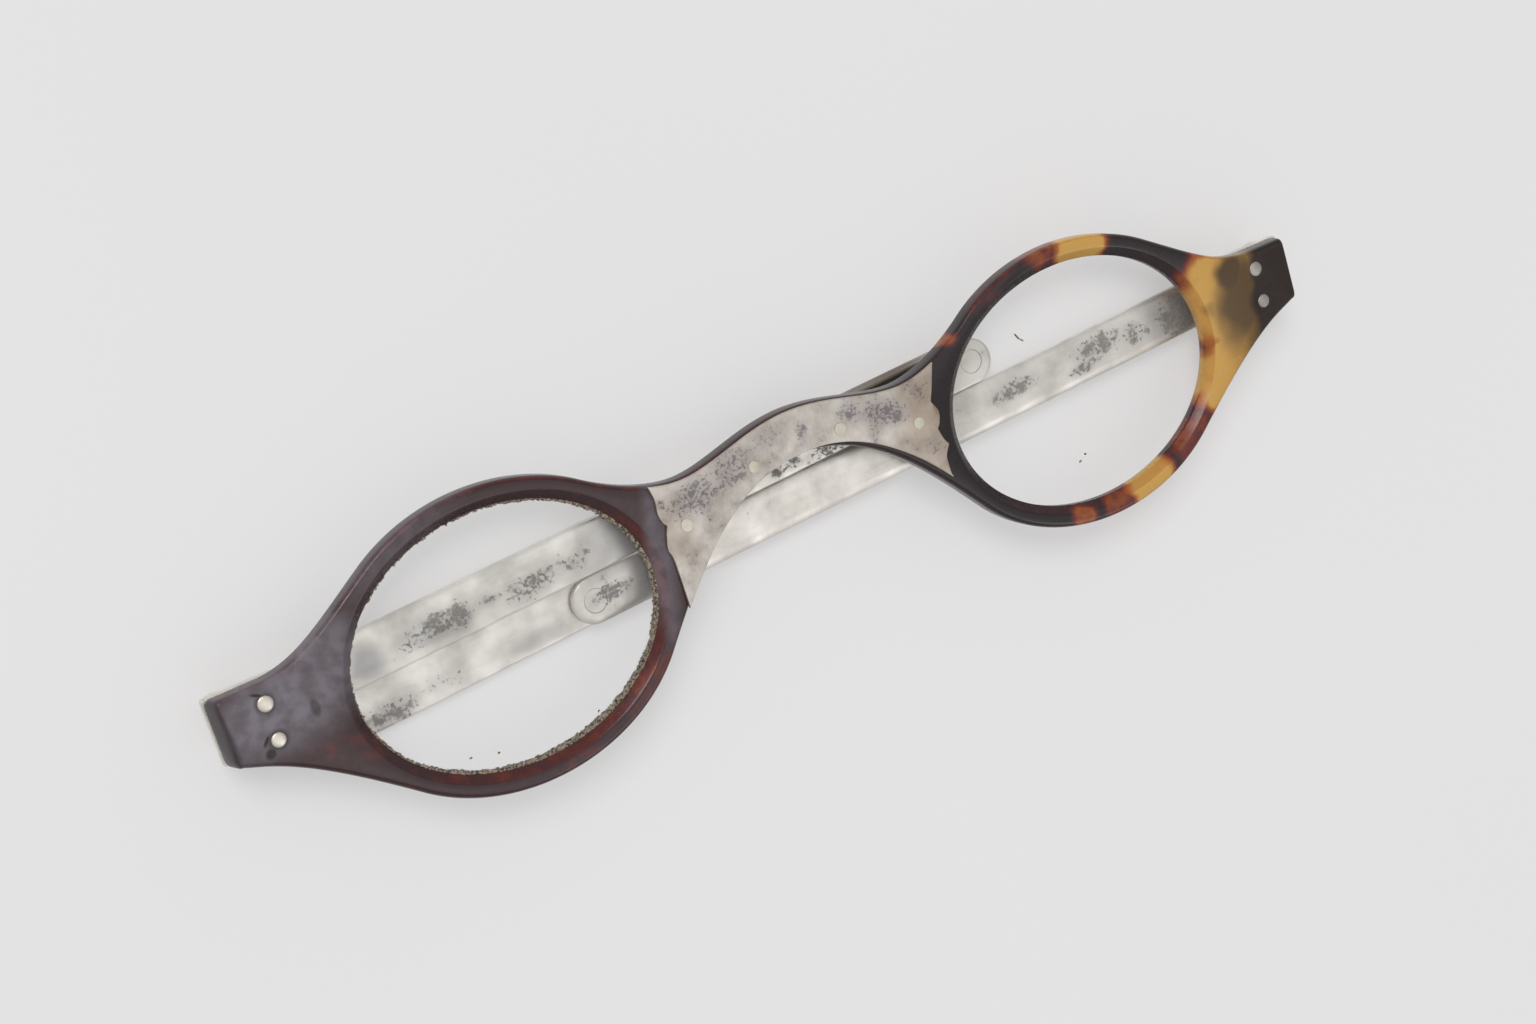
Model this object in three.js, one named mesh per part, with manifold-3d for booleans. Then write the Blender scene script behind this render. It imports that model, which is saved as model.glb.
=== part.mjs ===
// Turn-pin spectacles, folded and lying face up: a tortoiseshell front with oval lenses, a silver
// bridge plate, riveted hinges and flat silver temples, each with an end piece on a turn pin.
// Millimetres, +X to the viewer's right, +Y towards the brow, +Z out of the front.
import * as THREE from "three";
import { mergeVertices } from "three/addons/utils/BufferGeometryUtils.js";
import Module from "manifold-3d";

// Lenses and rims
const OPENING_WIDE = 30.56; // the oval opening in the face of each rim, along X
const OPENING_HIGH = 24.58; // the same, along Y
const RIM_WIDTH = 1.25;
const RIM_BEVEL = 0.8; // how far the rim slopes in from that opening, down to the lens
const RIM_LIP = 0.1; // straight part between that slope and the lens groove
const FRONT_THICK = 2.1;
const EDGE_ROUND = 0.35; // rounding of the front's edges
const GROOVE_DEEP = 0.45; // how far the lens groove goes into the rim
const LENS_EDGE = 0.5; // thickness of a lens at its edge
const LENS_CROWN = 0.45; // how far each face of a lens bulges
const LENS_CLEAR = 0.05;

// Bridge and lugs of the front
const BRIDGE_TOP = 9.0; // height of the bridge's upper edge over the lens axis, at the nose
const BRIDGE_WAIST = 7.05; // height where the upper edge dips beside the rim
const WAIST_IN = 19.35; // from the lens centre in to that dip
const ARCH_TOP = 4.65; // height of the bridge's lower edge at the nose
const FRONT_WIDE = 114.4; // over both lugs
const LUG_REACH = 9.82; // from the widest point of the rim out to the end of the lug
const LUG_TOP = 5.25; // upper edge of a lug at its end
const LUG_BOTTOM = -1.0;
const LUG_CORNER = 0.6;
const LUG_STRAIGHT = 4.2; // the length of a lug before its edges start to open out
const LUG_FLARE = 0.95; // how far its lower edge has dropped by then

// Curves between the rims, the bridge and the lugs: where each leaves the oval of the rim, in
// degrees from +X, and how far it then runs on before it bends away
const NOSE_LEAVE = 130;
const NOSE_EASE = 3.5;
const WAIST_EASE = 2.5;
const LUG_LEAVE = 52;
const LUG_EASE = 6.5;
const LUG_RETURN = -45;
const RETURN_EASE = 9.5;
const ARCH_LEAVE = -147;
const ARCH_EASE = 8;
const ARCH_SHOULDER = 7; // half-width of the flat top of the arch

// Bridge plate
const PLATE_THICK = 0.35;
const PLATE_INSET = 0.2; // from the edge of the bridge to the edge of the plate
const PLATE_BEVEL = 0.06;
const PLATE_END_IN = 16.1; // from the lens centre in to the middle of the plate's shaped end
const PLATE_SCALLOP = 0.33; // how far the shaped end swings either way

// Rivets
const RIVET_SHANK = 0.42; // radius
const RIVET_CLEAR = 0.03;
const BRIDGE_RIVET_HEAD = 0.58; // radius
const BRIDGE_RIVET_PROUD = 0.07;
const BRIDGE_RIVET_INNER_X = 4.6;
const BRIDGE_RIVET_INNER_SHIFT = -0.65; // from the middle of the bridge there, along Y
const BRIDGE_RIVET_OUTER_IN = 2.35; // from the plate's shaped end in to the outer rivet
const BRIDGE_RIVET_OUTER_SHIFT = 0.45;
const LUG_RIVET_HEAD = 0.72;
const LUG_RIVET_PROUD = 0.16;
const LUG_RIVET_IN = 4.6; // from the end of the lug
const LUG_RIVET_PITCH = 3.3;
const LUG_RIVET_DROP = 0.35; // middle of the pair, below the middle of the hinge

// Hinges
const LEAF_THICK = 0.7;
const LEAF_LONG = 7.4;
const LEAF_HIGH = 5.9;
const LEAF_CORNER = 1.2; // rounding of its inner corners
const BARREL_RADIUS = 1.05;
const BARREL_LONG = 5.2;
const KNUCKLE_LONG = 1.7; // the temple's own knuckle, between the two of the leaf
const KNUCKLE_GAP = 0.1;
const AXIS_IN = 1.5; // from the end of the lug in to the hinge axis
const LEAF_GAP = 0.15; // between the turning knuckle and the leaf
const HINGE_PIN = 0.45; // radius
const HINGE_PIN_CLEAR = 0.04;
const HINGE_PIN_HEAD = 0.2; // how far each end of the pin stands out
const HINGE_PIN_FLARE = 0.25; // how much wider than the pin that end is
const HINGE_PIN_PLAY = 0.02; // between that end and the barrel

// Temples
const FORE_LONG = 77.2; // hinge axis to turn pin
const FORE_ROOT = 4.7; // width at the hinge
const FORE_NECK = 4.3; // width at the turn pin
const STRIP_THICK = 0.9;
const STRIP_BEVEL = 0.12;
const ROOT_GAP = 0.3; // between the barrel and the wide part of the temple
const TONGUE_LONG = 1.5; // how far the knuckle's tongue runs on into that part
const END_LONG = 28.5; // turn pin to tip
const END_TIP = 4.4; // width at the tip
const STRIP_GAP = 0.06; // between a temple and its end piece
const PIN_RADIUS = 0.7;
const PIN_HEAD = 1.1;
const PIN_HEAD_THICK = 0.3;
const PIN_SUNK = 0.03; // how far its heads lie below the faces of the strips
const PIN_CLEAR = 0.04;
const SIDE_GAP = 0.2; // between the two folded temples, seen from the front

// Heights, from the underside of the end pieces up
const AXIS_Z = STRIP_THICK + STRIP_GAP + STRIP_THICK / 2;
const LEAF_BACK = AXIS_Z + BARREL_RADIUS + LEAF_GAP;
const FRONT_BACK = LEAF_BACK + LEAF_THICK;
const FRONT_FACE = FRONT_BACK + FRONT_THICK;
const LENS_Z = FRONT_BACK + FRONT_THICK / 2;
const PLATE_FACE = FRONT_FACE + PLATE_THICK;

// Places in the plane of the front
const RIM_A = OPENING_WIDE / 2 + RIM_WIDTH;
const RIM_B = OPENING_HIGH / 2 + RIM_WIDTH;
const SEAT_A = OPENING_WIDE / 2 - RIM_BEVEL; // the opening at the lens, half its width
const SEAT_B = OPENING_HIGH / 2 - RIM_BEVEL;
const LUG_END = FRONT_WIDE / 2;
const LENS_X = LUG_END - LUG_REACH - RIM_A; // half the distance between the lens centres
const PLATE_END = LENS_X - PLATE_END_IN;
const HINGE_X = LUG_END - AXIS_IN;
const HINGE_Y = (LUG_TOP + LUG_BOTTOM) / 2;
const LUG_RIVET_X = LUG_END - LUG_RIVET_IN;

const EYE_RADIUS = FORE_NECK / 2; // rounded ends around the turn pin

// The folded temples are parallel, and fanned just enough to lie side by side without crossing.
const EYE_PLACE = 2 * HINGE_X - FORE_LONG; // along one temple, where the other one's eye lies
const FORE_TAPER = (FORE_ROOT - FORE_NECK) / FORE_LONG;
const WIDTH_THERE = FORE_ROOT - FORE_TAPER * EYE_PLACE;
const FAN = Math.asin((WIDTH_THERE / 2 + EYE_RADIUS + SIDE_GAP) / (2 * HINGE_X));

const wasm = await Module();
wasm.setup();

const ROUND_SIDES = 20; // facets around rivets, pins and bores

// A closed three.js geometry as a solid for cutting and joining.
function solidOf(geometry) {
  const plain = geometry.index ? geometry.toNonIndexed() : geometry.clone();
  plain.deleteAttribute("normal");
  plain.deleteAttribute("uv");
  const merged = mergeVertices(plain, 1e-4);
  return new wasm.Manifold(
    new wasm.Mesh({
      numProp: 3,
      vertProperties: new Float32Array(merged.attributes.position.array),
      triVerts: new Uint32Array(merged.index.array),
    }),
  );
}

function geometryOf(solid) {
  const mesh = solid.getMesh();
  const geometry = new THREE.BufferGeometry();
  geometry.setAttribute("position", new THREE.BufferAttribute(mesh.vertProperties, 3));
  geometry.setIndex(new THREE.BufferAttribute(mesh.triVerts, 1));
  geometry.computeVertexNormals();
  return geometry;
}

// A flat shape raised from one height to another, its edges bevelled without growing the outline.
function prism(shape, bottom, top, bevel = 0, steps = 2) {
  const geometry = new THREE.ExtrudeGeometry(shape, {
    depth: top - bottom - 2 * bevel,
    curveSegments: 14,
    bevelEnabled: bevel > 0,
    bevelThickness: bevel,
    bevelSize: bevel,
    bevelOffset: -bevel,
    bevelSegments: steps,
  });
  return solidOf(geometry.translate(0, 0, bottom + bevel));
}

function upright(x, y, radius, bottom, top, sides = ROUND_SIDES) {
  const geometry = new THREE.CylinderGeometry(radius, radius, top - bottom, sides);
  return solidOf(geometry.rotateX(Math.PI / 2).translate(x, y, (bottom + top) / 2));
}

// A cylinder along Y.
function crosswise(x, low, high, z, radius, sides = ROUND_SIDES) {
  const geometry = new THREE.CylinderGeometry(radius, radius, high - low, sides);
  return solidOf(geometry.translate(x, (low + high) / 2, z));
}

function block(x0, x1, y0, y1, z0, z1) {
  const geometry = new THREE.BoxGeometry(x1 - x0, y1 - y0, z1 - z0);
  return solidOf(geometry.translate((x0 + x1) / 2, (y0 + y1) / 2, (z0 + z1) / 2));
}

function ellipse(x, halfWide, halfHigh, sides = 72) {
  const path = new THREE.Path();
  path.setFromPoints(new THREE.EllipseCurve(x, 0, halfWide, halfHigh, 0, 2 * Math.PI).getPoints(sides));
  return path;
}

const at = (x, y) => new THREE.Vector2(x, y);

function rimPoint(degrees) {
  const angle = THREE.MathUtils.degToRad(degrees);
  return at(LENS_X + RIM_A * Math.cos(angle), RIM_B * Math.sin(angle));
}

// A step along the rim from one of its points, clockwise when positive.
function alongRim(degrees, step) {
  const angle = THREE.MathUtils.degToRad(degrees);
  const way = at(RIM_A * Math.sin(angle), -RIM_B * Math.cos(angle)).setLength(step);
  return rimPoint(degrees).add(way);
}

function rimArc(from, to, sides) {
  const start = THREE.MathUtils.degToRad(from);
  const end = THREE.MathUtils.degToRad(to);
  return new THREE.EllipseCurve(LENS_X, 0, RIM_A, RIM_B, start, end, true).getPoints(sides);
}

// The right half of the front's outline, from the top of the nose round to the arch under it.
const WAIST = at(LENS_X - WAIST_IN, BRIDGE_WAIST);
const noseCurve = new THREE.CubicBezierCurve(
  at(0, BRIDGE_TOP),
  at(0.39 * WAIST.x, BRIDGE_TOP),
  at(0.7 * WAIST.x, WAIST.y),
  WAIST,
);
const browCurve = new THREE.CubicBezierCurve(
  WAIST,
  at(WAIST.x + WAIST_EASE, WAIST.y),
  alongRim(NOSE_LEAVE, -NOSE_EASE),
  rimPoint(NOSE_LEAVE),
);
const lugTopCurve = new THREE.CubicBezierCurve(
  rimPoint(LUG_LEAVE),
  alongRim(LUG_LEAVE, LUG_EASE),
  at(LUG_END - 2 * LUG_STRAIGHT, LUG_TOP),
  at(LUG_END - LUG_STRAIGHT, LUG_TOP),
);
const lugBottomCurve = new THREE.CubicBezierCurve(
  at(LUG_END - LUG_CORNER, LUG_BOTTOM),
  at(LUG_END - LUG_STRAIGHT, LUG_BOTTOM - LUG_FLARE),
  alongRim(LUG_RETURN, -RETURN_EASE),
  rimPoint(LUG_RETURN),
);
const archCurve = new THREE.CubicBezierCurve(
  rimPoint(ARCH_LEAVE),
  alongRim(ARCH_LEAVE, ARCH_EASE),
  at(ARCH_SHOULDER, ARCH_TOP),
  at(0, ARCH_TOP),
);
const cornerTop = new THREE.QuadraticBezierCurve(
  at(LUG_END - LUG_CORNER, LUG_TOP),
  at(LUG_END, LUG_TOP),
  at(LUG_END, LUG_TOP - LUG_CORNER),
);
const cornerBottom = new THREE.QuadraticBezierCurve(
  at(LUG_END, LUG_BOTTOM + LUG_CORNER),
  at(LUG_END, LUG_BOTTOM),
  at(LUG_END - LUG_CORNER, LUG_BOTTOM),
);

function mirrored(points) {
  return points.map((p) => at(-p.x, p.y)).reverse();
}

// A closed outline from its right half, which starts and ends on the middle line.
function symmetric(half) {
  const points = [...half, ...mirrored(half).slice(1, -1)];
  return new THREE.Shape(points.filter((p, i) => i === 0 || p.distanceTo(points[i - 1]) > 1e-3));
}

function frontShape() {
  const half = [
    ...noseCurve.getPoints(14),
    ...browCurve.getPoints(10),
    ...rimArc(NOSE_LEAVE, LUG_LEAVE, 24),
    ...lugTopCurve.getPoints(12),
    ...cornerTop.getPoints(4),
    ...cornerBottom.getPoints(4),
    ...lugBottomCurve.getPoints(12),
    ...rimArc(LUG_RETURN, ARCH_LEAVE, 28),
    ...archCurve.getPoints(18),
  ];
  const shape = symmetric(half);
  shape.holes.push(ellipse(LENS_X, SEAT_A, SEAT_B));
  shape.holes.push(ellipse(-LENS_X, SEAT_A, SEAT_B));
  return shape;
}

// The points of a curve moved aside by a distance, to its right when positive.
function offset(curve, count, distance) {
  const points = [];
  for (let i = 0; i <= count; i++) {
    const way = curve.getTangent(i / count);
    points.push(curve.getPoint(i / count).add(at(way.y, -way.x).multiplyScalar(distance)));
  }
  return points;
}

// The plate follows the bridge's two edges, and each end is cut as a double scallop with a notch.
function plateShape() {
  const endX = PLATE_END;
  const swing = PLATE_SCALLOP;
  const upper = [...offset(noseCurve, 14, PLATE_INSET), ...offset(browCurve, 24, PLATE_INSET).slice(1)];
  const lower = offset(archCurve, 30, PLATE_INSET);
  const upperTip = upper.filter((p) => p.x < endX + 2 * swing).at(-1);
  const lowerTip = lower.filter((p) => p.x < endX - swing / 2)[0];
  const notch = at(endX - 1.1 * swing, (upperTip.y + lowerTip.y) / 2);
  const reach = (upperTip.y - lowerTip.y) / 2;
  const upperLobe = new THREE.SplineCurve([
    upperTip,
    at(endX, notch.y + 0.74 * reach),
    at(endX + 0.9 * swing, notch.y + 0.36 * reach),
    notch,
  ]);
  const lowerLobe = new THREE.SplineCurve([
    notch,
    at(endX + 0.9 * swing, notch.y - 0.3 * reach),
    at(endX - 0.8 * swing, notch.y - 0.66 * reach),
    lowerTip,
  ]);
  const half = [
    ...upper.filter((p) => p.x < upperTip.x),
    ...upperLobe.getPoints(10),
    ...lowerLobe.getPoints(10).slice(1),
    ...lower.filter((p) => p.x < lowerTip.x),
  ];
  return symmetric(half);
}

// The height of a curve of the outline at one X.
function heightAt(curves, x) {
  const points = curves.flatMap((curve) => curve.getPoints(80));
  const nearest = points.reduce((best, p) => (Math.abs(p.x - x) < Math.abs(best.x - x) ? p : best));
  return nearest.y;
}

function bridgeRivetPlaces() {
  const middle = (x) => (heightAt([noseCurve, browCurve], x) + heightAt([archCurve], x)) / 2;
  const outerX = PLATE_END - BRIDGE_RIVET_OUTER_IN;
  const inner = at(BRIDGE_RIVET_INNER_X, middle(BRIDGE_RIVET_INNER_X) + BRIDGE_RIVET_INNER_SHIFT);
  const outer = at(outerX, middle(outerX) + BRIDGE_RIVET_OUTER_SHIFT);
  return [at(-outer.x, outer.y), at(-inner.x, inner.y), inner, outer];
}

function lugRivetPlaces(side) {
  const middle = HINGE_Y - LUG_RIVET_DROP;
  return [
    at(side * LUG_RIVET_X, middle + LUG_RIVET_PITCH / 2),
    at(side * LUG_RIVET_X, middle - LUG_RIVET_PITCH / 2),
  ];
}

const bridgeRivets = bridgeRivetPlaces();
const lugRivets = { left: lugRivetPlaces(-1), right: lugRivetPlaces(1) };

function ovalDisc(x, halfWide, halfHigh, bottom, top) {
  return prism(new THREE.Shape(ellipse(x, halfWide, halfHigh).getPoints()), bottom, top);
}

function frontSolid() {
  let front = prism(frontShape(), FRONT_BACK, FRONT_FACE, EDGE_ROUND, 2);
  const half = LENS_EDGE / 2 + LENS_CLEAR;
  for (const x of [-LENS_X, LENS_X]) {
    const groove = ovalDisc(x, SEAT_A + GROOVE_DEEP, SEAT_B + GROOVE_DEEP, LENS_Z - half, LENS_Z + half);
    const foot = LENS_Z + half + RIM_LIP;
    const slope = wasm.Manifold.hull([
      ovalDisc(x, SEAT_A, SEAT_B, foot - RIM_LIP, foot),
      ovalDisc(x, OPENING_WIDE / 2, OPENING_HIGH / 2, FRONT_FACE, FRONT_FACE + RIM_LIP),
    ]);
    front = front.subtract(groove).subtract(slope);
  }
  for (const place of [...bridgeRivets, ...lugRivets.left, ...lugRivets.right]) {
    front = front.subtract(rivetHole(place, FRONT_BACK - 1, FRONT_FACE + 1));
  }
  return front;
}

function rivetHole(place, bottom, top) {
  return upright(place.x, place.y, RIVET_SHANK + RIVET_CLEAR, bottom, top);
}

function plateSolid() {
  let plate = prism(plateShape(), FRONT_FACE, PLATE_FACE, PLATE_BEVEL, 1);
  for (const place of bridgeRivets) {
    plate = plate.subtract(rivetHole(place, FRONT_FACE - 1, PLATE_FACE + 1));
  }
  return plate;
}

// A biconvex lens whose thin edge runs in the groove of the rim.
function lensGeometry() {
  const halfWide = SEAT_A + GROOVE_DEEP - LENS_CLEAR;
  const halfHigh = SEAT_B + GROOVE_DEEP - LENS_CLEAR;
  const bulge = (r) => LENS_EDGE / 2 + LENS_CROWN * (1 - (r / halfWide) ** 2);
  const profile = [];
  const steps = 5;
  for (let i = 0; i <= steps; i++) {
    const r = (halfWide * i) / steps;
    profile.push(at(r, -bulge(r)));
  }
  for (let i = steps; i >= 0; i--) {
    const r = (halfWide * i) / steps;
    profile.push(at(r, bulge(r)));
  }
  const geometry = new THREE.LatheGeometry(profile, 72);
  return geometry.rotateX(Math.PI / 2).scale(1, halfHigh / halfWide, 1);
}

// A rivet with a low domed head at both ends, gripping what lies between two heights.
function rivetGeometry(head, proud, bottom, top) {
  const profile = [
    at(0, bottom - proud),
    at(0.75 * head, bottom - 0.85 * proud),
    at(head, bottom - 0.3 * proud),
    at(head, bottom),
    at(RIVET_SHANK, bottom),
    at(RIVET_SHANK, top),
    at(head, top),
    at(head, top + 0.3 * proud),
    at(0.75 * head, top + 0.85 * proud),
    at(0, top + proud),
  ];
  return new THREE.LatheGeometry(profile, ROUND_SIDES).rotateX(Math.PI / 2);
}

// The leaf of a hinge under a lug, with a knuckle at each end of the barrel.
function leafSolid(side) {
  const inner = LUG_END - LEAF_LONG;
  const low = HINGE_Y - LEAF_HIGH / 2;
  const high = HINGE_Y + LEAF_HIGH / 2;
  const round = LEAF_CORNER;
  const shape = new THREE.Shape();
  shape.moveTo(side * LUG_END - side * EDGE_ROUND, low);
  shape.lineTo(side * LUG_END - side * EDGE_ROUND, high);
  shape.lineTo(side * (inner + round), high);
  shape.quadraticCurveTo(side * inner, high, side * inner, high - round);
  shape.lineTo(side * inner, low + round);
  shape.quadraticCurveTo(side * inner, low, side * (inner + round), low);
  let leaf = prism(shape, LEAF_BACK, FRONT_BACK);
  const x = side * HINGE_X;
  const web = 0.85 * BARREL_RADIUS;
  const inside = KNUCKLE_LONG / 2 + KNUCKLE_GAP;
  for (const end of [-1, 1]) {
    const from = HINGE_Y + Math.min(end * inside, (end * BARREL_LONG) / 2);
    const to = HINGE_Y + Math.max(end * inside, (end * BARREL_LONG) / 2);
    leaf = leaf.add(crosswise(x, from, to, AXIS_Z, BARREL_RADIUS));
    leaf = leaf.add(block(x - web, x + web, from, to, AXIS_Z, LEAF_BACK + LEAF_THICK / 2));
  }
  const bore = HINGE_PIN + HINGE_PIN_CLEAR;
  leaf = leaf.subtract(crosswise(x, HINGE_Y - BARREL_LONG, HINGE_Y + BARREL_LONG, AXIS_Z, bore));
  for (const place of side < 0 ? lugRivets.left : lugRivets.right) {
    leaf = leaf.subtract(rivetHole(place, LEAF_BACK - 1, FRONT_BACK + 1));
  }
  return leaf;
}

function hingePinGeometry() {
  const end = BARREL_LONG / 2 + HINGE_PIN_PLAY;
  const tip = BARREL_LONG / 2 + HINGE_PIN_HEAD;
  const head = HINGE_PIN + HINGE_PIN_FLARE;
  const profile = [
    at(0, -tip),
    at(0.7 * head, -tip),
    at(head, -end),
    at(HINGE_PIN, -end),
    at(HINGE_PIN, end),
    at(head, end),
    at(0.7 * head, tip),
    at(0, tip),
  ];
  return new THREE.LatheGeometry(profile, ROUND_SIDES);
}

// A strip that starts square, narrows along its length and ends in a half-round.
function stripShape(start, startWidth, end, endWidth) {
  const shape = new THREE.Shape();
  shape.moveTo(start, -startWidth / 2);
  shape.lineTo(end, -endWidth / 2);
  shape.absarc(end, 0, endWidth / 2, -Math.PI / 2, Math.PI / 2, false);
  shape.lineTo(start, startWidth / 2);
  return shape;
}

// The front part of a temple: its knuckle turns on the hinge axis, which is at the origin.
function foreSolid() {
  const half = STRIP_THICK / 2;
  const start = BARREL_RADIUS + ROOT_GAP;
  const strip = stripShape(start, FORE_ROOT, FORE_LONG, FORE_NECK);
  const bore = PIN_RADIUS + PIN_CLEAR;
  const sink = PIN_HEAD + PIN_CLEAR;
  let flat = prism(strip, -half, half, STRIP_BEVEL, 2);
  flat = flat.subtract(upright(FORE_LONG, 0, bore, -2 * half, 2 * half));
  flat = flat.subtract(upright(FORE_LONG, 0, sink, half - PIN_HEAD_THICK, 2 * half));
  const turned = geometryOf(flat).rotateZ(FAN);
  const reach = start + TONGUE_LONG;
  return solidOf(turned)
    .add(block(0, reach, -KNUCKLE_LONG / 2, KNUCKLE_LONG / 2, -half, half))
    .add(crosswise(0, -KNUCKLE_LONG / 2, KNUCKLE_LONG / 2, 0, BARREL_RADIUS))
    .subtract(crosswise(0, -KNUCKLE_LONG, KNUCKLE_LONG, 0, HINGE_PIN + HINGE_PIN_CLEAR));
}

const END_TOP = -STRIP_THICK / 2 - STRIP_GAP; // below the hinge axis
const END_BOTTOM = END_TOP - STRIP_THICK;

// The end piece of a temple, along +X from its turn pin at the origin.
function endSolid() {
  const tip = END_TIP / 2;
  const shape = new THREE.Shape();
  shape.absarc(0, 0, EYE_RADIUS, Math.PI / 2, 1.5 * Math.PI, false);
  shape.absarc(END_LONG - tip, 0, tip, -Math.PI / 2, Math.PI / 2, false);
  const bore = PIN_RADIUS + PIN_CLEAR;
  const sink = PIN_HEAD + PIN_CLEAR;
  return prism(shape, END_BOTTOM, END_TOP, STRIP_BEVEL, 2)
    .subtract(upright(0, 0, bore, END_BOTTOM - 1, END_TOP + 1))
    .subtract(upright(0, 0, sink, END_BOTTOM - 1, END_BOTTOM + PIN_HEAD_THICK + PIN_CLEAR));
}

// The turn pin: a shank through both strips, with a sunk head flush at each face.
function turnPinGeometry() {
  const top = STRIP_THICK / 2;
  const profile = [
    at(0, END_BOTTOM + PIN_SUNK),
    at(PIN_HEAD, END_BOTTOM + PIN_SUNK),
    at(PIN_HEAD, END_BOTTOM + PIN_HEAD_THICK),
    at(PIN_RADIUS, END_BOTTOM + PIN_HEAD_THICK),
    at(PIN_RADIUS, top - PIN_HEAD_THICK),
    at(PIN_HEAD, top - PIN_HEAD_THICK),
    at(PIN_HEAD, top - PIN_SUNK),
    at(0, top - PIN_SUNK),
  ];
  return new THREE.LatheGeometry(profile, ROUND_SIDES).rotateX(Math.PI / 2);
}

// Finishes, seen in the photograph
const tortoiseshell = { color: 0x3b2a26, roughness: 0.28, metalness: 0 };
const glass = { color: 0xe8ecea, roughness: 0.05, metalness: 0, transparent: true, opacity: 0.3 };
const plateSilver = { color: 0xb5aaa3, roughness: 0.5, metalness: 0.9 };
const stripSilver = { color: 0xb8b6b1, roughness: 0.4, metalness: 1 };
const rivetSilver = { color: 0xd9d3cc, roughness: 0.35, metalness: 1 };

function piece(name, geometry, finish) {
  const mesh = new THREE.Mesh(geometry, new THREE.MeshStandardMaterial(finish));
  mesh.name = name;
  return mesh;
}

const spectacles = new THREE.Group();
spectacles.name = "turn_pin_spectacles";

// Front
spectacles.add(piece("front_frame", geometryOf(frontSolid()), tortoiseshell));
spectacles.add(piece("bridge_plate", geometryOf(plateSolid()), plateSilver));
bridgeRivets.forEach((place, i) => {
  const rivet = rivetGeometry(BRIDGE_RIVET_HEAD, BRIDGE_RIVET_PROUD, FRONT_BACK, PLATE_FACE);
  const mesh = piece(`bridge_rivet_${i + 1}`, rivet, rivetSilver);
  mesh.position.set(place.x, place.y, 0);
  spectacles.add(mesh);
});

// What is on each side
for (const [name, side] of [["left", -1], ["right", 1]]) {
  const lens = piece(`${name}_lens`, lensGeometry(), glass);
  lens.position.set(side * LENS_X, 0, LENS_Z);
  spectacles.add(lens);
  spectacles.add(piece(`${name}_hinge_leaf`, geometryOf(leafSolid(side)), stripSilver));
  const pin = piece(`${name}_hinge_pin`, hingePinGeometry(), rivetSilver);
  pin.position.set(side * HINGE_X, HINGE_Y, AXIS_Z);
  spectacles.add(pin);
  lugRivets[name].forEach((place, i) => {
    const rivet = rivetGeometry(LUG_RIVET_HEAD, LUG_RIVET_PROUD, LEAF_BACK, FRONT_FACE);
    const mesh = piece(`${name}_lug_rivet_${i === 0 ? "upper" : "lower"}`, rivet, rivetSilver);
    mesh.position.set(place.x, place.y, 0);
    spectacles.add(mesh);
  });

  // One temple is the other turned half round. The left end piece is turned in, the right one out.
  const temple = new THREE.Group();
  temple.position.set(side * HINGE_X, HINGE_Y, AXIS_Z);
  temple.rotation.z = side < 0 ? 0 : Math.PI;
  temple.add(piece(`${name}_temple_fore`, geometryOf(foreSolid()), stripSilver));
  const turn = new THREE.Group();
  turn.position.set(FORE_LONG * Math.cos(FAN), FORE_LONG * Math.sin(FAN), 0);
  turn.rotation.z = FAN + (side < 0 ? Math.PI : 0);
  turn.add(piece(`${name}_turn_pin`, turnPinGeometry(), rivetSilver));
  turn.add(piece(`${name}_temple_end`, geometryOf(endSolid()), stripSilver));
  temple.add(turn);
  spectacles.add(temple);
}

export default spectacles;
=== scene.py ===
"""Turn-pin spectacles, folded and lying face up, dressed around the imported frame.

Sizes are in millimetres in the classes below and become metres when a mesh is finished. +X runs along
the front to the viewer's right, +Y towards the brow and +Z out of the front.
"""

from __future__ import annotations

import logging
import math
from dataclasses import dataclass
from enum import Enum
from typing import Any

import bmesh
import bpy
from bpy.types import Material, Node, NodeSocket, NodeTree, Object
from mathutils import Matrix, Vector, noise
from mathutils.geometry import delaunay_2d_cdt

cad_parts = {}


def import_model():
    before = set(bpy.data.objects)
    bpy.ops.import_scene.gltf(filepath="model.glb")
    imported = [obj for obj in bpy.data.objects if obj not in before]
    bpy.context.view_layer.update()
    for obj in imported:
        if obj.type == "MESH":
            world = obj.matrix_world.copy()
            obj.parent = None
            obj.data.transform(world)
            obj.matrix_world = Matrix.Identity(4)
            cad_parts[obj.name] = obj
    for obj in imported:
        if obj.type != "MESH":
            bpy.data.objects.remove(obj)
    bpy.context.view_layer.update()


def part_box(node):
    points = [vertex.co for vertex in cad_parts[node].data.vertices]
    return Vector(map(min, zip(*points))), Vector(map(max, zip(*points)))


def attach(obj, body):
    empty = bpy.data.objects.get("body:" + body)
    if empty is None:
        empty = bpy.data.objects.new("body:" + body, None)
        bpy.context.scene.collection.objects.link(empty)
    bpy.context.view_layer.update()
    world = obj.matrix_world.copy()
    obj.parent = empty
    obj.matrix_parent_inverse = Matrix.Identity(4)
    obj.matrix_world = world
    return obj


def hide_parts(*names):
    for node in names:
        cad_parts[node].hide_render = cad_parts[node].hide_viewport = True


MM = 0.001
LOG = logging.getLogger("spectacles")

Loop = list[Vector]
Row = list[bmesh.types.BMVert]
Section = list[tuple[float, float]]
Place3 = tuple[float, float, float]

# What feeds a node: one output of another node, or the node itself for its first output in use
Source = Node | NodeSocket


class Side(Enum):
    """The two sides as the viewer sees them; the value is the sign of X."""

    LEFT = -1
    RIGHT = 1

    @property
    def label(self) -> str:
        """The word that starts the names of this side's pieces."""
        return self.name.lower()


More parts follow.
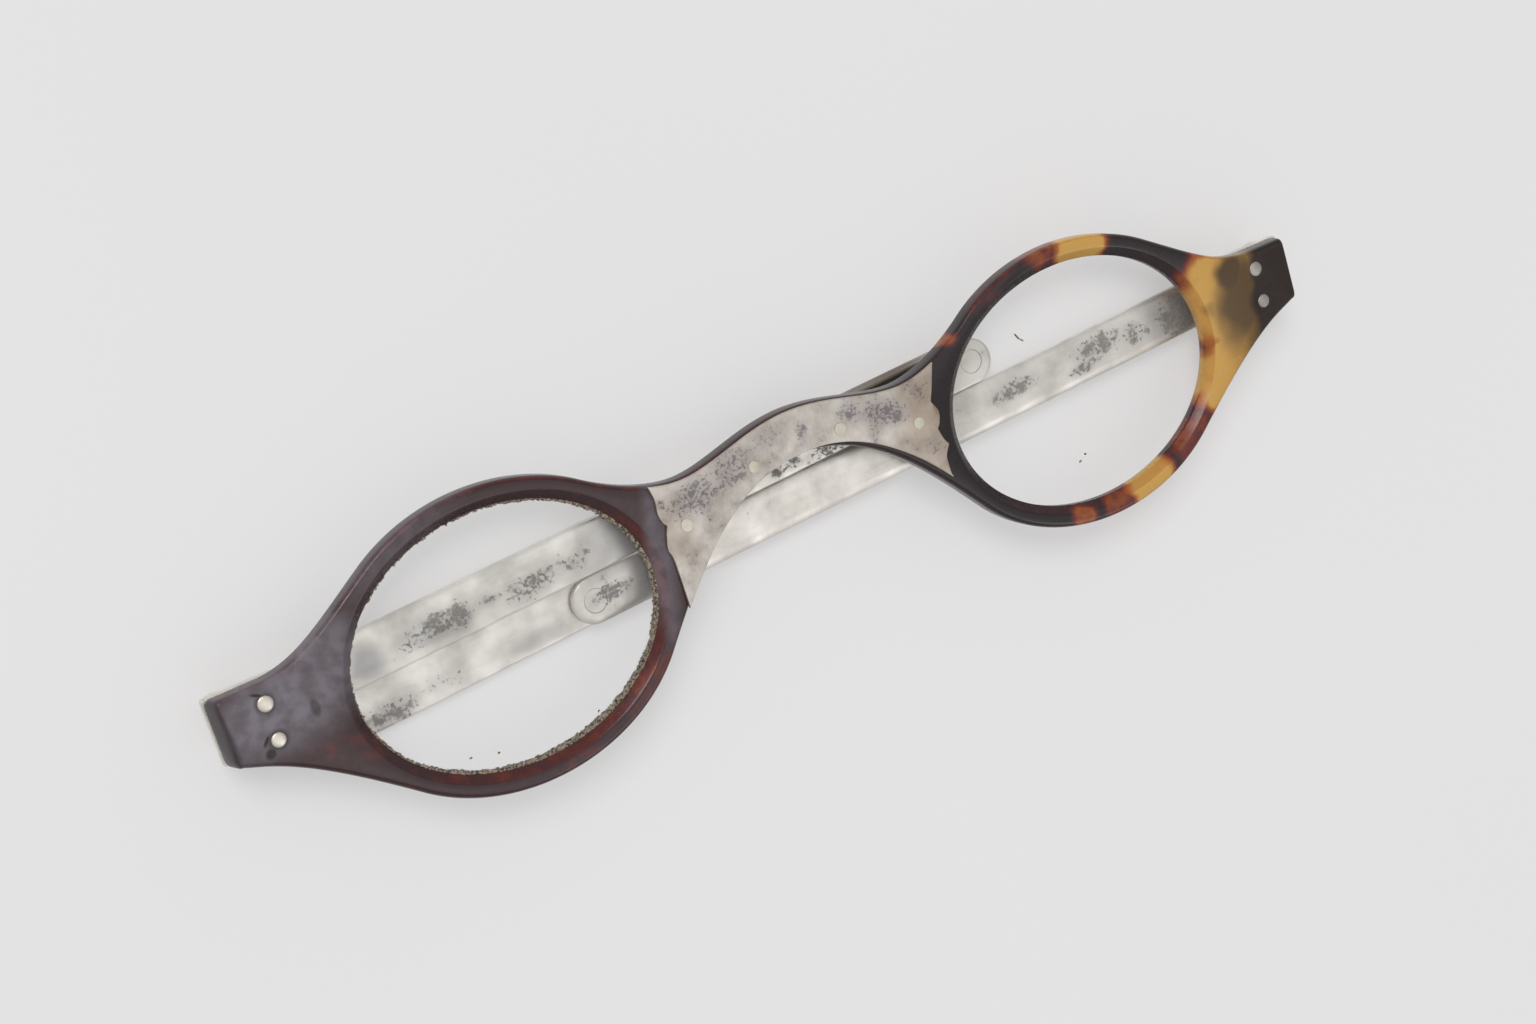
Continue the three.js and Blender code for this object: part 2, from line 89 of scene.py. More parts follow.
class Slot(Enum):
    """The record's material slots."""

    SHELL = "tortoiseshell"
    GLASS = "lens_glass"
    PLATE = "bridge_silver"
    TEMPLE = "temple_silver"
    RIVET = "rivet_silver"


# Curves and outlines


def flat(x: float, y: float) -> Vector:
    """A point in the plane of the front."""
    return Vector((x, y))


def mirrored(points: Loop, x: int = 1, y: int = 1) -> Loop:
    """A curve with the sign of its X or Y changed, run backwards so that it can follow the first one."""
    return [flat(x * p.x, y * p.y) for p in reversed(points)]


def bezier(controls: Loop, count: int) -> Loop:
    """Samples a Bezier curve of any degree.

    Args:
        controls: its control points.
        count: how many steps to take along it.

    Returns:
        The points, both ends included.
    """
    points = []
    for i in range(count + 1):
        level = [p.copy() for p in controls]
        while len(level) > 1:
            level = [a.lerp(b, i / count) for a, b in zip(level, level[1:])]
        points.append(level[0])
    return points


def oval_arc(x: float, half_wide: float, half_high: float, start: float, end: float, count: int) -> Loop:
    """Samples part of an upright oval that is centred on the X axis.

    Args:
        x: its centre.
        half_wide: half its width.
        half_high: half its height.
        start: where to start, in degrees from +X.
        end: where to end; the arc runs clockwise if this is less than start.
        count: how many steps to take.

    Returns:
        The points, both ends included.
    """
    angles = [math.radians(start + (end - start) * i / count) for i in range(count + 1)]
    return [flat(x + half_wide * math.cos(a), half_high * math.sin(a)) for a in angles]


def smooth_through(knots: Loop, count: int) -> Loop:
    """Samples a smooth curve through some points.

    Args:
        knots: the points it passes through.
        count: how many steps to take between two of them.

    Returns:
        The points, both ends included.
    """
    points = []
    last = len(knots) - 1
    for i in range(last):
        a, b = knots[i], knots[i + 1]
        lean_a = (b - knots[max(i - 1, 0)]) / 2
        lean_b = (knots[min(i + 2, last)] - a) / 2
        for k in range(count):
            t = k / count
            cubic = (2 * a - 2 * b + lean_a + lean_b) * t**3
            square = (3 * b - 3 * a - 2 * lean_a - lean_b) * t**2
            points.append(cubic + square + lean_a * t + a)
    points.append(knots[last].copy())
    return points


def straight(start: Vector, end: Vector, count: int) -> Loop:
    """The points of a straight line, without its two ends."""
    return [start.lerp(end, i / count) for i in range(1, count)]


def tidy_loop(points: Loop, least: float = 1e-3) -> Loop:
    """Drops the points of a closed outline that lie on the one before them."""
    return [p for i, p in enumerate(points) if (p - points[i - 1]).length > least]


def right_of(start: Vector, end: Vector) -> Vector:
    """The unit direction to the right of the way from one point to another."""
    along = (end - start).normalized()
    return flat(along.y, -along.x)


def ways_out(loop: Loop) -> Loop:
    """The unit direction away from the material at each point of an outline or hole."""
    count = len(loop)
    return [right_of(loop[i - 1], loop[(i + 1) % count]) for i in range(count)]


def moved_aside(points: Loop, distance: float) -> Loop:
    """Moves an open curve to its right.

    Args:
        points: the curve.
        distance: how far, in millimetres.

    Returns:
        The moved points.
    """
    last = len(points) - 1
    ways = [right_of(points[max(i - 1, 0)], points[min(i + 1, last)]) for i in range(last + 1)]
    return [p + distance * way for p, way in zip(points, ways)]


def mirrored_outline(right: Loop, left: Loop) -> Loop:
    """Joins two halves of an outline, each given as it would lie on the right.

    Args:
        right: the right half, clockwise from the top of the middle line to the bottom of it.
        left: the left half, as its mirror image.

    Returns:
        The whole outline, counter-clockwise.
    """
    return list(reversed(tidy_loop(right + mirrored(left, x=-1)[1:-1])))


# Edges, as (inset, height) pairs from the lower face of a flat piece to its upper face


def both_edges(lower: Section, bottom: float, top: float) -> Section:
    """Adds the same edge at the upper face to the edge at the lower one."""
    return lower + [(inset, bottom + top - height) for inset, height in reversed(lower)]


def rounded_edge(bottom: float, top: float, radius: float, steps: int = 6) -> Section:
    """The side of a flat piece whose two edges are rounded.

    Args:
        bottom: height of its lower face.
        top: height of its upper face.
        radius: of the rounding.
        steps: facets in each rounding.

    Returns:
        The side.
    """
    turns = [math.pi / 2 * i / steps for i in range(steps + 1)]
    lower = [(radius * (1 - math.sin(t)), bottom + radius * (1 - math.cos(t))) for t in turns]
    return both_edges(lower, bottom, top)


def plain_edge(bottom: float, top: float, soft: float = 0.02) -> Section:
    """The side of a flat piece or hole whose edges are only just broken."""
    return both_edges([(soft, bottom), (0.0, bottom + soft)], bottom, top)


def chamfered_edge(bottom: float, top: float, width: float, depth: float, soft: float = 0.16) -> Section:
    """The side of a strip whose two edges are filed to a flat slope with softened corners.

    Args:
        bottom: height of its lower face.
        top: height of its upper face.
        width: of the slope, seen from above.
        depth: of the slope, seen from the side.
        soft: the share of the slope that a softened corner takes.

    Returns:
        The side.
    """
    lower = [
        (width * (1 + soft), bottom),
        (width * (1 - soft), bottom + depth * soft / 2),
        (width * soft, bottom + depth * (1 - soft)),
        (0.0, bottom + depth * (1 + 2 * soft)),
    ]
    return both_edges(lower, bottom, top)


# Meshes


def shown(name: str, data: bpy.types.ID) -> Object:
    """Puts a mesh, a lamp or a camera into the scene.

    Args:
        name: the new object's name.
        data: what it shows.

    Returns:
        The object, at the origin.
    """
    thing = bpy.data.objects.new(name, data)
    bpy.context.scene.collection.objects.link(thing)
    return thing


class PieceMesh:
    """A mesh in the making, in millimetres, that becomes one piece of the object."""

    MERGED = 1e-5
    SAME_SPOT = 1e-6
    FACES_INSIDE = 1

    def __init__(self) -> None:
        """Starts with nothing in it."""
        self.bm = bmesh.new()

    def plate(self, loops: list[Loop], sections: list[Section], place: Matrix | None = None) -> None:
        """Adds a flat piece with worked edges.

        Args:
            loops: its outline, counter-clockwise, and then any holes, clockwise.
            sections: the side of each loop.
            place: moves it from its own XY plane to where it goes.
        """
        walls: list[list[Row]] = []
        for loop, section in zip(loops, sections):
            ways = ways_out(loop)
            rows = []
            for inset, height in section:
                points = [p - inset * w for p, w in zip(loop, ways)]
                rows.append([self.bm.verts.new((p.x, p.y, height)) for p in points])
            self._wrap(rows)
            walls.append(rows)
        self._fill([rows[0] for rows in walls])
        self._fill([rows[-1] for rows in walls])
        self._move([v for rows in walls for row in rows for v in row], place)

    def _fill(self, rows: list[Row]) -> None:
        """Closes a flat face.

        Args:
            rows: the points round its outline, which comes first, and round each hole.
        """
        verts = [v for row in rows for v in row]
        rings = []
        first = 0
        for row in rows:
            rings.append(list(range(first, first + len(row))))
            first += len(row)
        rings[1:] = [list(reversed(ring)) for ring in rings[1:]]
        spots = [v.co.to_2d() for v in verts]
        found = delaunay_2d_cdt(spots, [], rings, self.FACES_INSIDE, self.SAME_SPOT, True)
        triangles, sources, owners = found[2], found[3], found[5]
        for triangle, owner in zip(triangles, owners):
            if list(owner) == [0]:
                self.bm.faces.new([verts[sources[i][0]] for i in triangle])

    def lathe(self, profile: Section, sides: int, place: Matrix | None = None) -> None:
        """Adds a turned piece.

        Args:
            profile: (radius, height) pairs that start and end on the axis.
            sides: facets around it.
            place: moves it from its own Z axis to where it goes.
        """
        foot = self.bm.verts.new((0, 0, profile[0][1]))
        crown = self.bm.verts.new((0, 0, profile[-1][1]))
        turns = [2 * math.pi * i / sides for i in range(sides)]
        rows = []
        for radius, height in profile[1:-1]:
            spots = [(radius * math.cos(a), radius * math.sin(a), height) for a in turns]
            rows.append([self.bm.verts.new(spot) for spot in spots])
        self._wrap(rows)
        for i in range(sides):
            j = (i + 1) % sides
            self.bm.faces.new((foot, rows[0][j], rows[0][i])).smooth = True
            self.bm.faces.new((crown, rows[-1][i], rows[-1][j])).smooth = True
        self._move([foot, crown] + [v for row in rows for v in row], place)

    def tube(self, rings: list[Loop]) -> None:
        """Adds a closed ring-shaped tube from its cross-sections, each a closed loop of points."""
        rows = [[self.bm.verts.new(p) for p in ring] for ring in rings]
        self._wrap(rows + rows[:1])

    def _wrap(self, rows: list[Row]) -> None:
        """Joins closed rows of points with smooth four-sided faces.

        Args:
            rows: with as many points in each.
        """
        for lower, upper in zip(rows, rows[1:]):
            for i in range(len(lower)):
                j = (i + 1) % len(lower)
                self.bm.faces.new((lower[i], lower[j], upper[j], upper[i])).smooth = True

    def _move(self, verts: Row, place: Matrix | None) -> None:
        """Moves new points to where they go, if a place is given."""
        if place is not None:
            bmesh.ops.transform(self.bm, matrix=place, verts=verts)

    def finish(self, name: str, material: Material, crease: float = 40) -> Object:
        """Turns the mesh into an object in metres.

        Args:
            name: the object's name.
            material: its finish.
            crease: edges that turn more than this many degrees stay sharp.

        Returns:
            The object, at the origin.
        """
        bmesh.ops.remove_doubles(self.bm, verts=self.bm.verts[:], dist=self.MERGED)
        bmesh.ops.recalc_face_normals(self.bm, faces=self.bm.faces[:])
        bmesh.ops.scale(self.bm, vec=(MM, MM, MM), verts=self.bm.verts[:])
        mesh = bpy.data.meshes.new(name)
        self.bm.to_mesh(mesh)
        self.bm.free()
        mesh.set_sharp_from_angle(angle=math.radians(crease))
        mesh.materials.append(material)
        return shown(name, mesh)


# Node trees

MATH = "ShaderNodeMath"
VECTOR = "ShaderNodeVectorMath"
NOISE = "ShaderNodeTexNoise"
SURFACE = "ShaderNodeBsdfPrincipled"
OUTPUT = "ShaderNodeOutputMaterial"


def linear(code: str) -> tuple[float, float, float, float]:
    """Turns an sRGB hex colour into linear red, green, blue and a full alpha.

    Args:
        code: such as "#c08a35".

    Returns:
        The four channels.
    """
    shares = [int(code[i : i + 2], 16) / 255 for i in (1, 3, 5)]
    channels = [s / 12.92 if s <= 0.04045 else ((s + 0.055) / 1.055) ** 2.4 for s in shares]
    return (channels[0], channels[1], channels[2], 1.0)


def add_node(tree: NodeTree, kind: str, inputs: dict | None = None, **settings: Any) -> Node:
    """Adds a node with its settings, values and links.

    Args:
        tree: the node tree.
        kind: the node's type name.
        inputs: a value or what feeds it for each input, by its name or index.
        settings: the node's own properties.

    Returns:
        The node.
    """
    node = tree.nodes.new(kind)
    for name, value in settings.items():
        setattr(node, name, value)
    for key, value in (inputs or {}).items():
        if isinstance(value, Node):
            value = next(output for output in value.outputs if output.enabled)
        if isinstance(value, NodeSocket):
            tree.links.new(value, node.inputs[key])
        else:
            node.inputs[key].default_value = value
    return node


def new_material(name: str) -> tuple[Material, NodeTree]:
    """Starts a node material.

    Args:
        name: the material's name.

    Returns:
        The material and its emptied tree.
    """
    material = bpy.data.materials.new(name)
    material.use_nodes = True
    material.node_tree.nodes.clear()
    return material, material.node_tree


def place_in_mm(tree: NodeTree) -> Node:
    """The place on the object in millimetres, from Object coordinates."""
    spot = add_node(tree, "ShaderNodeTexCoord").outputs["Object"]
    return add_node(tree, VECTOR, {0: spot, "Scale": 1 / MM}, operation="SCALE")


def folded(tree: NodeTree, operation: str, values: list[Source], **settings: Any) -> Source:
    """Joins several values into one.

    Args:
        tree: the node tree.
        operation: how each value is joined to those before it, such as MAXIMUM.
        values: what to join.
        settings: other properties of each step.

    Returns:
        The joined value.
    """
    total = values[0]
    for value in values[1:]:
        total = add_node(tree, MATH, {0: total, 1: value}, operation=operation, **settings)
    return total


def colour_steps(tree: NodeTree, value: Source, steps: list[tuple[float, str]]) -> Node:
    """Turns a value into a colour.

    Args:
        tree: the node tree.
        value: the value, from 0 to 1.
        steps: (position, hex colour) pairs.

    Returns:
        The node that gives the colour.
    """
    ramp = add_node(tree, "ShaderNodeValToRGB", {"Fac": value})
    elements = ramp.color_ramp.elements
    while len(elements) < len(steps):
        elements.new(1.0)
    for element, (position, code) in zip(elements, steps):
        element.position = position
        element.color = linear(code)
    return ramp


def laid_over(tree: NodeTree, colour: Source, layers: list[tuple[Source, str]]) -> Source:
    """Lays thin layers of other colours over a colour.

    Args:
        tree: the node tree.
        colour: what lies below.
        layers: (how much of each place it covers, hex colour) pairs, the lowest first.

    Returns:
        The colour that shows.
    """
    for share, code in layers:
        mixed = {0: share, 6: colour, 7: linear(code)}
        colour = add_node(tree, "ShaderNodeMix", mixed, data_type="RGBA")
    return colour


@dataclass(frozen=True)
class Span:
    """A smooth step: what runs from low to high is carried to what runs from start to end."""

    low: float
    high: float
    start: float = 0.0
    end: float = 1.0

    def on(self, tree: NodeTree, value: Source) -> Node:
        """Carries a value over, and no further than the two ends."""
        ends = {"From Min": self.low, "From Max": self.high, "To Min": self.start, "To Max": self.end}
        return add_node(tree, "ShaderNodeMapRange", {"Value": value, **ends}, interpolation_type="SMOOTHSTEP")


@dataclass(frozen=True)
class Patch:
    """A soft-edged oval mark on a surface, in millimetres in the plane of the front."""

    x: float
    y: float
    half_wide: float
    half_high: float
    strength: float = 1.0
    turn: float = 0.0


def patch_mask(tree: NodeTree, place: Source, patches: tuple[Patch, ...], soft: float) -> Source:
    """How strongly any of some patches marks each place.

    Args:
        tree: the node tree.
        place: the place in millimetres, with any wobble already added.
        patches: the marks.
        soft: the share of a patch's size over which it fades, either side of its outline.

    Returns:
        A value that is 0 off the patches.
    """
    marks: list[Source] = []
    for patch in patches:
        centred = add_node(tree, VECTOR, {0: place, 1: (patch.x, patch.y, 0)}, operation="SUBTRACT")
        if patch.turn:
            turned = {"Vector": centred, "Angle": math.radians(-patch.turn)}
            centred = add_node(tree, "ShaderNodeVectorRotate", turned, rotation_type="Z_AXIS")
        shares = (1 / patch.half_wide, 1 / patch.half_high, 0)
        scaled = add_node(tree, VECTOR, {0: centred, 1: shares}, operation="MULTIPLY")
        reach = add_node(tree, VECTOR, {0: scaled}, operation="LENGTH")
        marks.append(Span(1 + soft, 1 - soft, 0.0, patch.strength).on(tree, reach))
    return folded(tree, "MAXIMUM", marks)


def seen_rays(tree: NodeTree) -> Source:
    """Tells the rays by which the camera sees a thing: straight, through glass or by a reflection.

    Args:
        tree: the node tree.

    Returns:
        A value that is 1 for those rays.
    """
    path = add_node(tree, "ShaderNodeLightPath")
    kinds = ("Camera", "Glossy", "Transmission")
    return folded(tree, "MAXIMUM", [path.outputs[f"Is {kind} Ray"] for kind in kinds])


# Finishes


@dataclass(frozen=True)
class PolishedTortoiseshell:
    """Turtle shell, cut flat, scraped and polished by hand.

    It looks like dark brown glass with amber clouds on one side. The edges of the clouds run through
    red-brown, the bevels are painted a glowing red as painted light, most where they face the lamp, and the
    handled parts have a dull purple-grey bloom that is partly hazy wear and partly painted sheen.
    """

    dark: str = "#190f11"
    plum: str = "#34161a"
    red: str = "#601f12"
    orange: str = "#96521d"
    amber: str = "#bd9145"
    # The bloom's colour: partly hazy wear, partly painted sheen of the room's light
    bloom_and_sheen: str = "#78747c"
    smoke: str = "#1e0f0a"
    glow_steps: tuple[float, ...] = (0.05, 0.28, 0.46, 0.68, 0.9)
    ior: float = 1.54
    gloss: tuple[float, float] = (0.12, 0.36)
    bloom_rough: float = 0.4
    scrape_depth: float = 0.03
    scrape_share: float = 0.15
    cloud_wobble: float = 0.9
    cloud_grain: float = 2.6
    mottle_grain: float = 1.3
    scrape_grain: float = 0.5
    cloud_detail: float = 1
    mottle_detail: float = 4
    scrape_detail: float = 6
    cloud_soft: float = 0.36
    smoke_soft: float = 0.5
    mark_soft: float = 0.4
    bloom_and_sheen_soft: float = 0.6
    bloom_and_sheen_mottle: Span = Span(0.3, 0.7, 0.5, 1.0)
    cloud_mottle: Span = Span(0.2, 0.8, -0.1, 0.1)
    warmth_across: Span = Span(-4.0, 20.0, 0.2, 0.0)
    # Painted light: the sloped bevels are coloured towards red as if lit through, most where they face the
    # lamp
    slope_painted_glow: float = 0.6
    slope_from: Span = Span(0.93, 0.84, 0.0, 0.46)
    slope_to: Span = Span(0.5, 0.66)
    slope_painted_lit: Span = Span(-0.3, 0.4, 0.15, 1.0)
    slope_mottle: Span = Span(0.35, 0.65, 0.6, 1.0)
    painted_light_from: Place3 = (-0.7, 0.7, 0.0)
    clouds: tuple[Patch, ...] = (
        Patch(34.2, 12.6, 3.0, 3.2, 1.0, -8),
        Patch(29.4, 13.2, 2.1, 1.6, 0.5, 10),
        Patch(24.2, 12.4, 4.0, 1.2, 0.28, 26),
        Patch(17.6, 9.4, 1.6, 1.0, 0.56, -5),
        Patch(48.2, 2.0, 4.8, 5.6, 1.0, 12),
        Patch(46.6, -4.6, 4.8, 3.2, 1.0, 38),
        Patch(50.8, -1.2, 2.8, 3.0, 1.0),
        Patch(51.2, 4.4, 2.6, 2.6, 1.0),
        Patch(40.8, -9.9, 3.0, 1.8, 0.44, 38),
        Patch(35.1, -11.9, 2.7, 2.5, 0.96, 16),
        Patch(31.0, -12.6, 1.8, 1.6, 0.46),
        Patch(26.8, -12.5, 1.4, 1.4, 0.6),
        Patch(-19.5, -10.2, 6.0, 2.2, 0.14, 42),
        Patch(-27.0, -13.4, 5.0, 1.2, 0.1, 5),
        Patch(-47.0, -3.0, 4.0, 1.4, 0.08, -20),
    )
    smokes: tuple[Patch, ...] = (
        Patch(56.4, 1.4, 5.8, 12.0, 1.15, -19),
        Patch(49.5, 3.9, 1.7, 2.3, 0.9, -31),
        Patch(50.4, 1.2, 3.2, 5.0, 0.86, -16),
        Patch(46.9, 1.4, 1.0, 1.1, 0.4),
    )
    marks: tuple[Patch, ...] = (
        # Painted shade in the gaps round the two lug rivets
        Patch(-52.6, 3.43, 0.85, 0.85, 0.9),
        Patch(-52.6, 0.13, 0.85, 0.85, 0.9),
        # An old hole, a notch, scratches and a smudge
        Patch(-53.6, -0.75, 0.5, 0.42, 1.0, 40),
        Patch(-53.6, 0.4, 0.5, 0.16, 1.0, 50),
        Patch(-53.1, 4.4, 0.5, 0.14, 1.0, -25),
        Patch(-48.8, 1.4, 0.4, 0.8, 0.6),
        # Painted shade on the bevel just inside the left lug's end
        Patch(-56.6, 2.2, 0.5, 3.6, 0.7, 3),
    )
    # Where the bloom lies: worn haze on the handled left lug with painted sheen there, and painted sheen on
    # the upper left rim and beside the bridge
    bloom_and_sheen_patches: tuple[Patch, ...] = (
        Patch(-51.5, 2.5, 6.4, 3.3, 0.85, 4),
        # Painted reflection of the pale table on the left lug's end wall
        Patch(-57.6, 2.2, 1.1, 5.0, 0.6),
        Patch(-46.6, 5.0, 3.4, 4.4, 0.7, 30),
        Patch(-38.0, 12.4, 8.0, 2.2, 0.3, 22),
        Patch(-15.6, 1.0, 1.0, 7.5, 0.5, -8),
    )

    def build(self) -> Material:
        """Makes the material.

        Returns:
            The material.
        """
        material, tree = new_material("polished_tortoiseshell")
        place = place_in_mm(tree)
        uneven = {"Vector": place, "Scale": 1 / self.mottle_grain, "Detail": self.mottle_detail}
        mottle = add_node(tree, NOISE, uneven)
        fine = {"Vector": place, "Scale": 1 / self.scrape_grain, "Detail": self.scrape_detail}
        scrape = add_node(tree, NOISE, fine)
        wandering = self._wandering(tree, place)
        cloud = patch_mask(tree, wandering, self.clouds, self.cloud_soft)
        inside = (self.dark, self.plum, self.red, self.orange, self.amber)
        glow = self._glow(tree, place, cloud, mottle)
        colour = colour_steps(tree, glow, list(zip(self.glow_steps, inside)))
        # Worn haze and painted sheen, laid over the colour and roughening the surface
        handled_and_sheen = patch_mask(tree, place, self.bloom_and_sheen_patches, self.bloom_and_sheen_soft)
        worn = folded(tree, "MULTIPLY", [handled_and_sheen, self.bloom_and_sheen_mottle.on(tree, mottle)])
        smoke = patch_mask(tree, wandering, self.smokes, self.smoke_soft)
        # Real marks, with painted shade round the lug rivets and inside the left lug's end
        mark = patch_mask(tree, place, self.marks, self.mark_soft)
        colour = laid_over(tree, colour, [(worn, self.bloom_and_sheen), (smoke, self.smoke), (mark, self.dark)])
        low, high = self.gloss
        gloss = add_node(tree, "ShaderNodeMapRange", {"Value": scrape, "To Min": low, "To Max": high})
        rough = add_node(tree, MATH, {0: worn, 1: self.bloom_rough, 2: gloss}, operation="MULTIPLY_ADD")
        scraped = {"Height": scrape, "Strength": self.scrape_share, "Distance": self.scrape_depth * MM}
        bump = add_node(tree, "ShaderNodeBump", scraped)
        dressed = {"Base Color": colour, "Roughness": rough, "Normal": bump, "IOR": self.ior}
        add_node(tree, OUTPUT, {"Surface": add_node(tree, SURFACE, dressed)})
        return material

    def _wandering(self, tree: NodeTree, place: Source) -> Node:
        """Makes the places wander a little, so that the clouds get uneven outlines.

        Args:
            tree: the node tree.
            place: the place in millimetres.

        Returns:
            The place to draw the clouds by.
        """
        broad = {"Vector": place, "Scale": 1 / self.cloud_grain, "Detail": self.cloud_detail}
        drift = add_node(tree, NOISE, broad)
        centred = {0: drift.outputs["Color"], 1: (0.5, 0.5, 0.5)}
        way = add_node(tree, VECTOR, centred, operation="SUBTRACT")
        wandered = {0: way, 1: (2 * self.cloud_wobble,) * 3, 2: place}
        return add_node(tree, VECTOR, wandered, operation="MULTIPLY_ADD")

    def _glow(self, tree: NodeTree, place: Source, cloud: Source, mottle: Source) -> Node:
        """How much light comes back out of the shell at each place, with painted light added on the bevels.

        Args:
            tree: the node tree.
            place: the place in millimetres.
            cloud: how far each place lies in a pale cloud.
            mottle: a fine unevenness.

        Returns:
            A value from 0, dark, to 1, amber.
        """
        across = add_node(tree, "ShaderNodeSeparateXYZ", {0: place}).outputs["X"]
        normal = add_node(tree, "ShaderNodeTexCoord").outputs["Normal"]
        upward = add_node(tree, "ShaderNodeSeparateXYZ", {0: normal}).outputs["Z"]
        level_face = add_node(tree, MATH, {0: upward}, operation="ABSOLUTE")
        lit = add_node(tree, VECTOR, {0: normal, 1: self.painted_light_from}, operation="DOT_PRODUCT")
        # Painted light on the bevels: redder on slopes, most on those that face the lamp
        shares = [
            self.slope_from.on(tree, level_face),
            self.slope_to.on(tree, level_face),
            self.slope_painted_lit.on(tree, lit),
            self.slope_mottle.on(tree, mottle),
        ]
        lean = folded(tree, "MULTIPLY", shares)
        parts = [cloud, self.cloud_mottle.on(tree, mottle), self.warmth_across.on(tree, across)]
        glow = folded(tree, "ADD", parts, use_clamp=True)
        return add_node(tree, "ShaderNodeMix", {0: lean, 2: glow, 3: self.slope_painted_glow})


@dataclass(frozen=True)
class TarnishedSilver:
    """Rolled or filed silver, rubbed bright where it is touched and sulphided in the pits.

    It looks pale and soft, with cloudy duller areas, faint brush marks, grey veils and ragged dark blots.
    On the strips one veil and one stain are painted shade, darkening the metal where it mirrors the dark
    shell.
    """

    name: str
    bright: str
    dull: str
    tarnish: str
    veil_and_shade: str = "#9b9a9b"
    stain_and_shade: str = "#a48c70"
    rough_low: float = 0.26
    rough_high: float = 0.55
    tarnish_rough: float = 0.3
    tarnish_metal: float = 0.4
    cloud_grain: float = 4.0
    cloud_detail: float = 5
    blot_detail: float = 8
    brush_detail: float = 2
    detail_rough: float = 0.6
    blot_grain: float = 1.3
    blot_from: tuple[float, float, float] = (0.25, 0.68, 0.82)
    speck_grain: float = 0.4
    speck_from: tuple[float, float, float] = (0.26, 0.69, 0.78)
    brush_size: Place3 = (6.0, 0.2, 6.0)
    brush_share: float = 0.15
    brush_depth: float = 0.02
    brush_bump: float = 0.08
    blot_share: float = 0.7
    veil_share: float = 0.4
    stray: float = 0.25
    stray_from: tuple[float, float] = (0.52, 0.72)
    cluster_soft: float = 0.7
    layer_soft: float = 0.6
    dull_half: float = 0.25
    rough_half: float = 0.3
    clusters: tuple[Patch, ...] = ()
    veils_and_shade: tuple[Patch, ...] = ()
    stains_and_shade: tuple[Patch, ...] = ()
    seed: float = 0.0

    def build(self) -> Material:
        """Makes the material.

        Returns:
            The material.
        """
        material, tree = new_material(self.name)
        place = add_node(tree, VECTOR, {0: place_in_mm(tree), 1: (0, 0, self.seed)})
        cloud = self._cloudy(tree, place, self.cloud_grain, self.cloud_detail)
        spreads: list[Source] = [Span(*self.stray_from, 0.0, self.stray).on(tree, cloud)]
        if self.clusters:
            spreads.append(patch_mask(tree, place, self.clusters, self.cluster_soft))
        spread = folded(tree, "MAXIMUM", spreads)
        dark = self._blots(tree, place, spread)
        greys: list[Source] = [Span(0.0, 1.0, 0.0, self.veil_share).on(tree, spread)]
        if self.veils_and_shade:
            greys.append(patch_mask(tree, place, self.veils_and_shade, self.layer_soft))
        # Grey veils and stains, some of them painted shade on the strips
        layers = [(folded(tree, "MAXIMUM", greys), self.veil_and_shade), (dark, self.tarnish)]
        if self.stains_and_shade:
            layers.insert(0, (patch_mask(tree, place, self.stains_and_shade, self.layer_soft), self.stain_and_shade))
        drawn = add_node(tree, VECTOR, {0: place, 1: self.brush_size}, operation="DIVIDE")
        strokes = self._cloudy(tree, drawn, 1.0, self.brush_detail)
        brushed = {0: strokes, 1: self.brush_share, 2: cloud}
        grain = add_node(tree, MATH, brushed, operation="MULTIPLY_ADD")
        even = 0.5 + self.brush_share / 2
        worn = Span(even - self.dull_half, even + self.dull_half).on(tree, grain)
        colour = colour_steps(tree, worn, [(0.0, self.bright), (1.0, self.dull)])
        ends = (even - self.rough_half, even + self.rough_half, self.rough_low, self.rough_high)
        rougher = {0: dark, 1: self.tarnish_rough, 2: Span(*ends).on(tree, grain)}
        bumped = {"Height": grain, "Strength": self.brush_bump, "Distance": self.brush_depth * MM}
        dressed = {
            "Base Color": laid_over(tree, colour, layers),
            "Roughness": add_node(tree, MATH, rougher, operation="MULTIPLY_ADD"),
            "Metallic": Span(0.0, 1.0, 1.0, self.tarnish_metal).on(tree, dark),
            "Normal": add_node(tree, "ShaderNodeBump", bumped),
        }
        add_node(tree, OUTPUT, {"Surface": add_node(tree, SURFACE, dressed)})
        return material

    def _blots(self, tree: NodeTree, place: Source, spread: Source) -> Source:
        """The ragged dark blots and the fine specks among them.

        Args:
            tree: the node tree.
            place: the place in millimetres.
            spread: how thickly they lie at each place.

        Returns:
            How dark each place is.
        """
        layers: list[Source] = []
        kinds = ((self.blot_grain, self.blot_from), (self.speck_grain, self.speck_from))
        for grain, (pull, low, high) in kinds:
            pulled = {0: spread, 1: pull, 2: self._cloudy(tree, place, grain, self.blot_detail)}
            lifted = add_node(tree, MATH, pulled, operation="MULTIPLY_ADD")
            layers.append(Span(low, high, 0.0, self.blot_share).on(tree, lifted))
        return folded(tree, "MAXIMUM", layers)

    def _cloudy(self, tree: NodeTree, place: Source, grain: float, detail: float) -> Node:
        """A cloudy value from 0 to 1 whose features are about one grain wide."""
        cloudy = {"Vector": place, "Scale": 1 / grain, "Detail": detail, "Roughness": self.detail_rough}
        return add_node(tree, NOISE, cloudy)


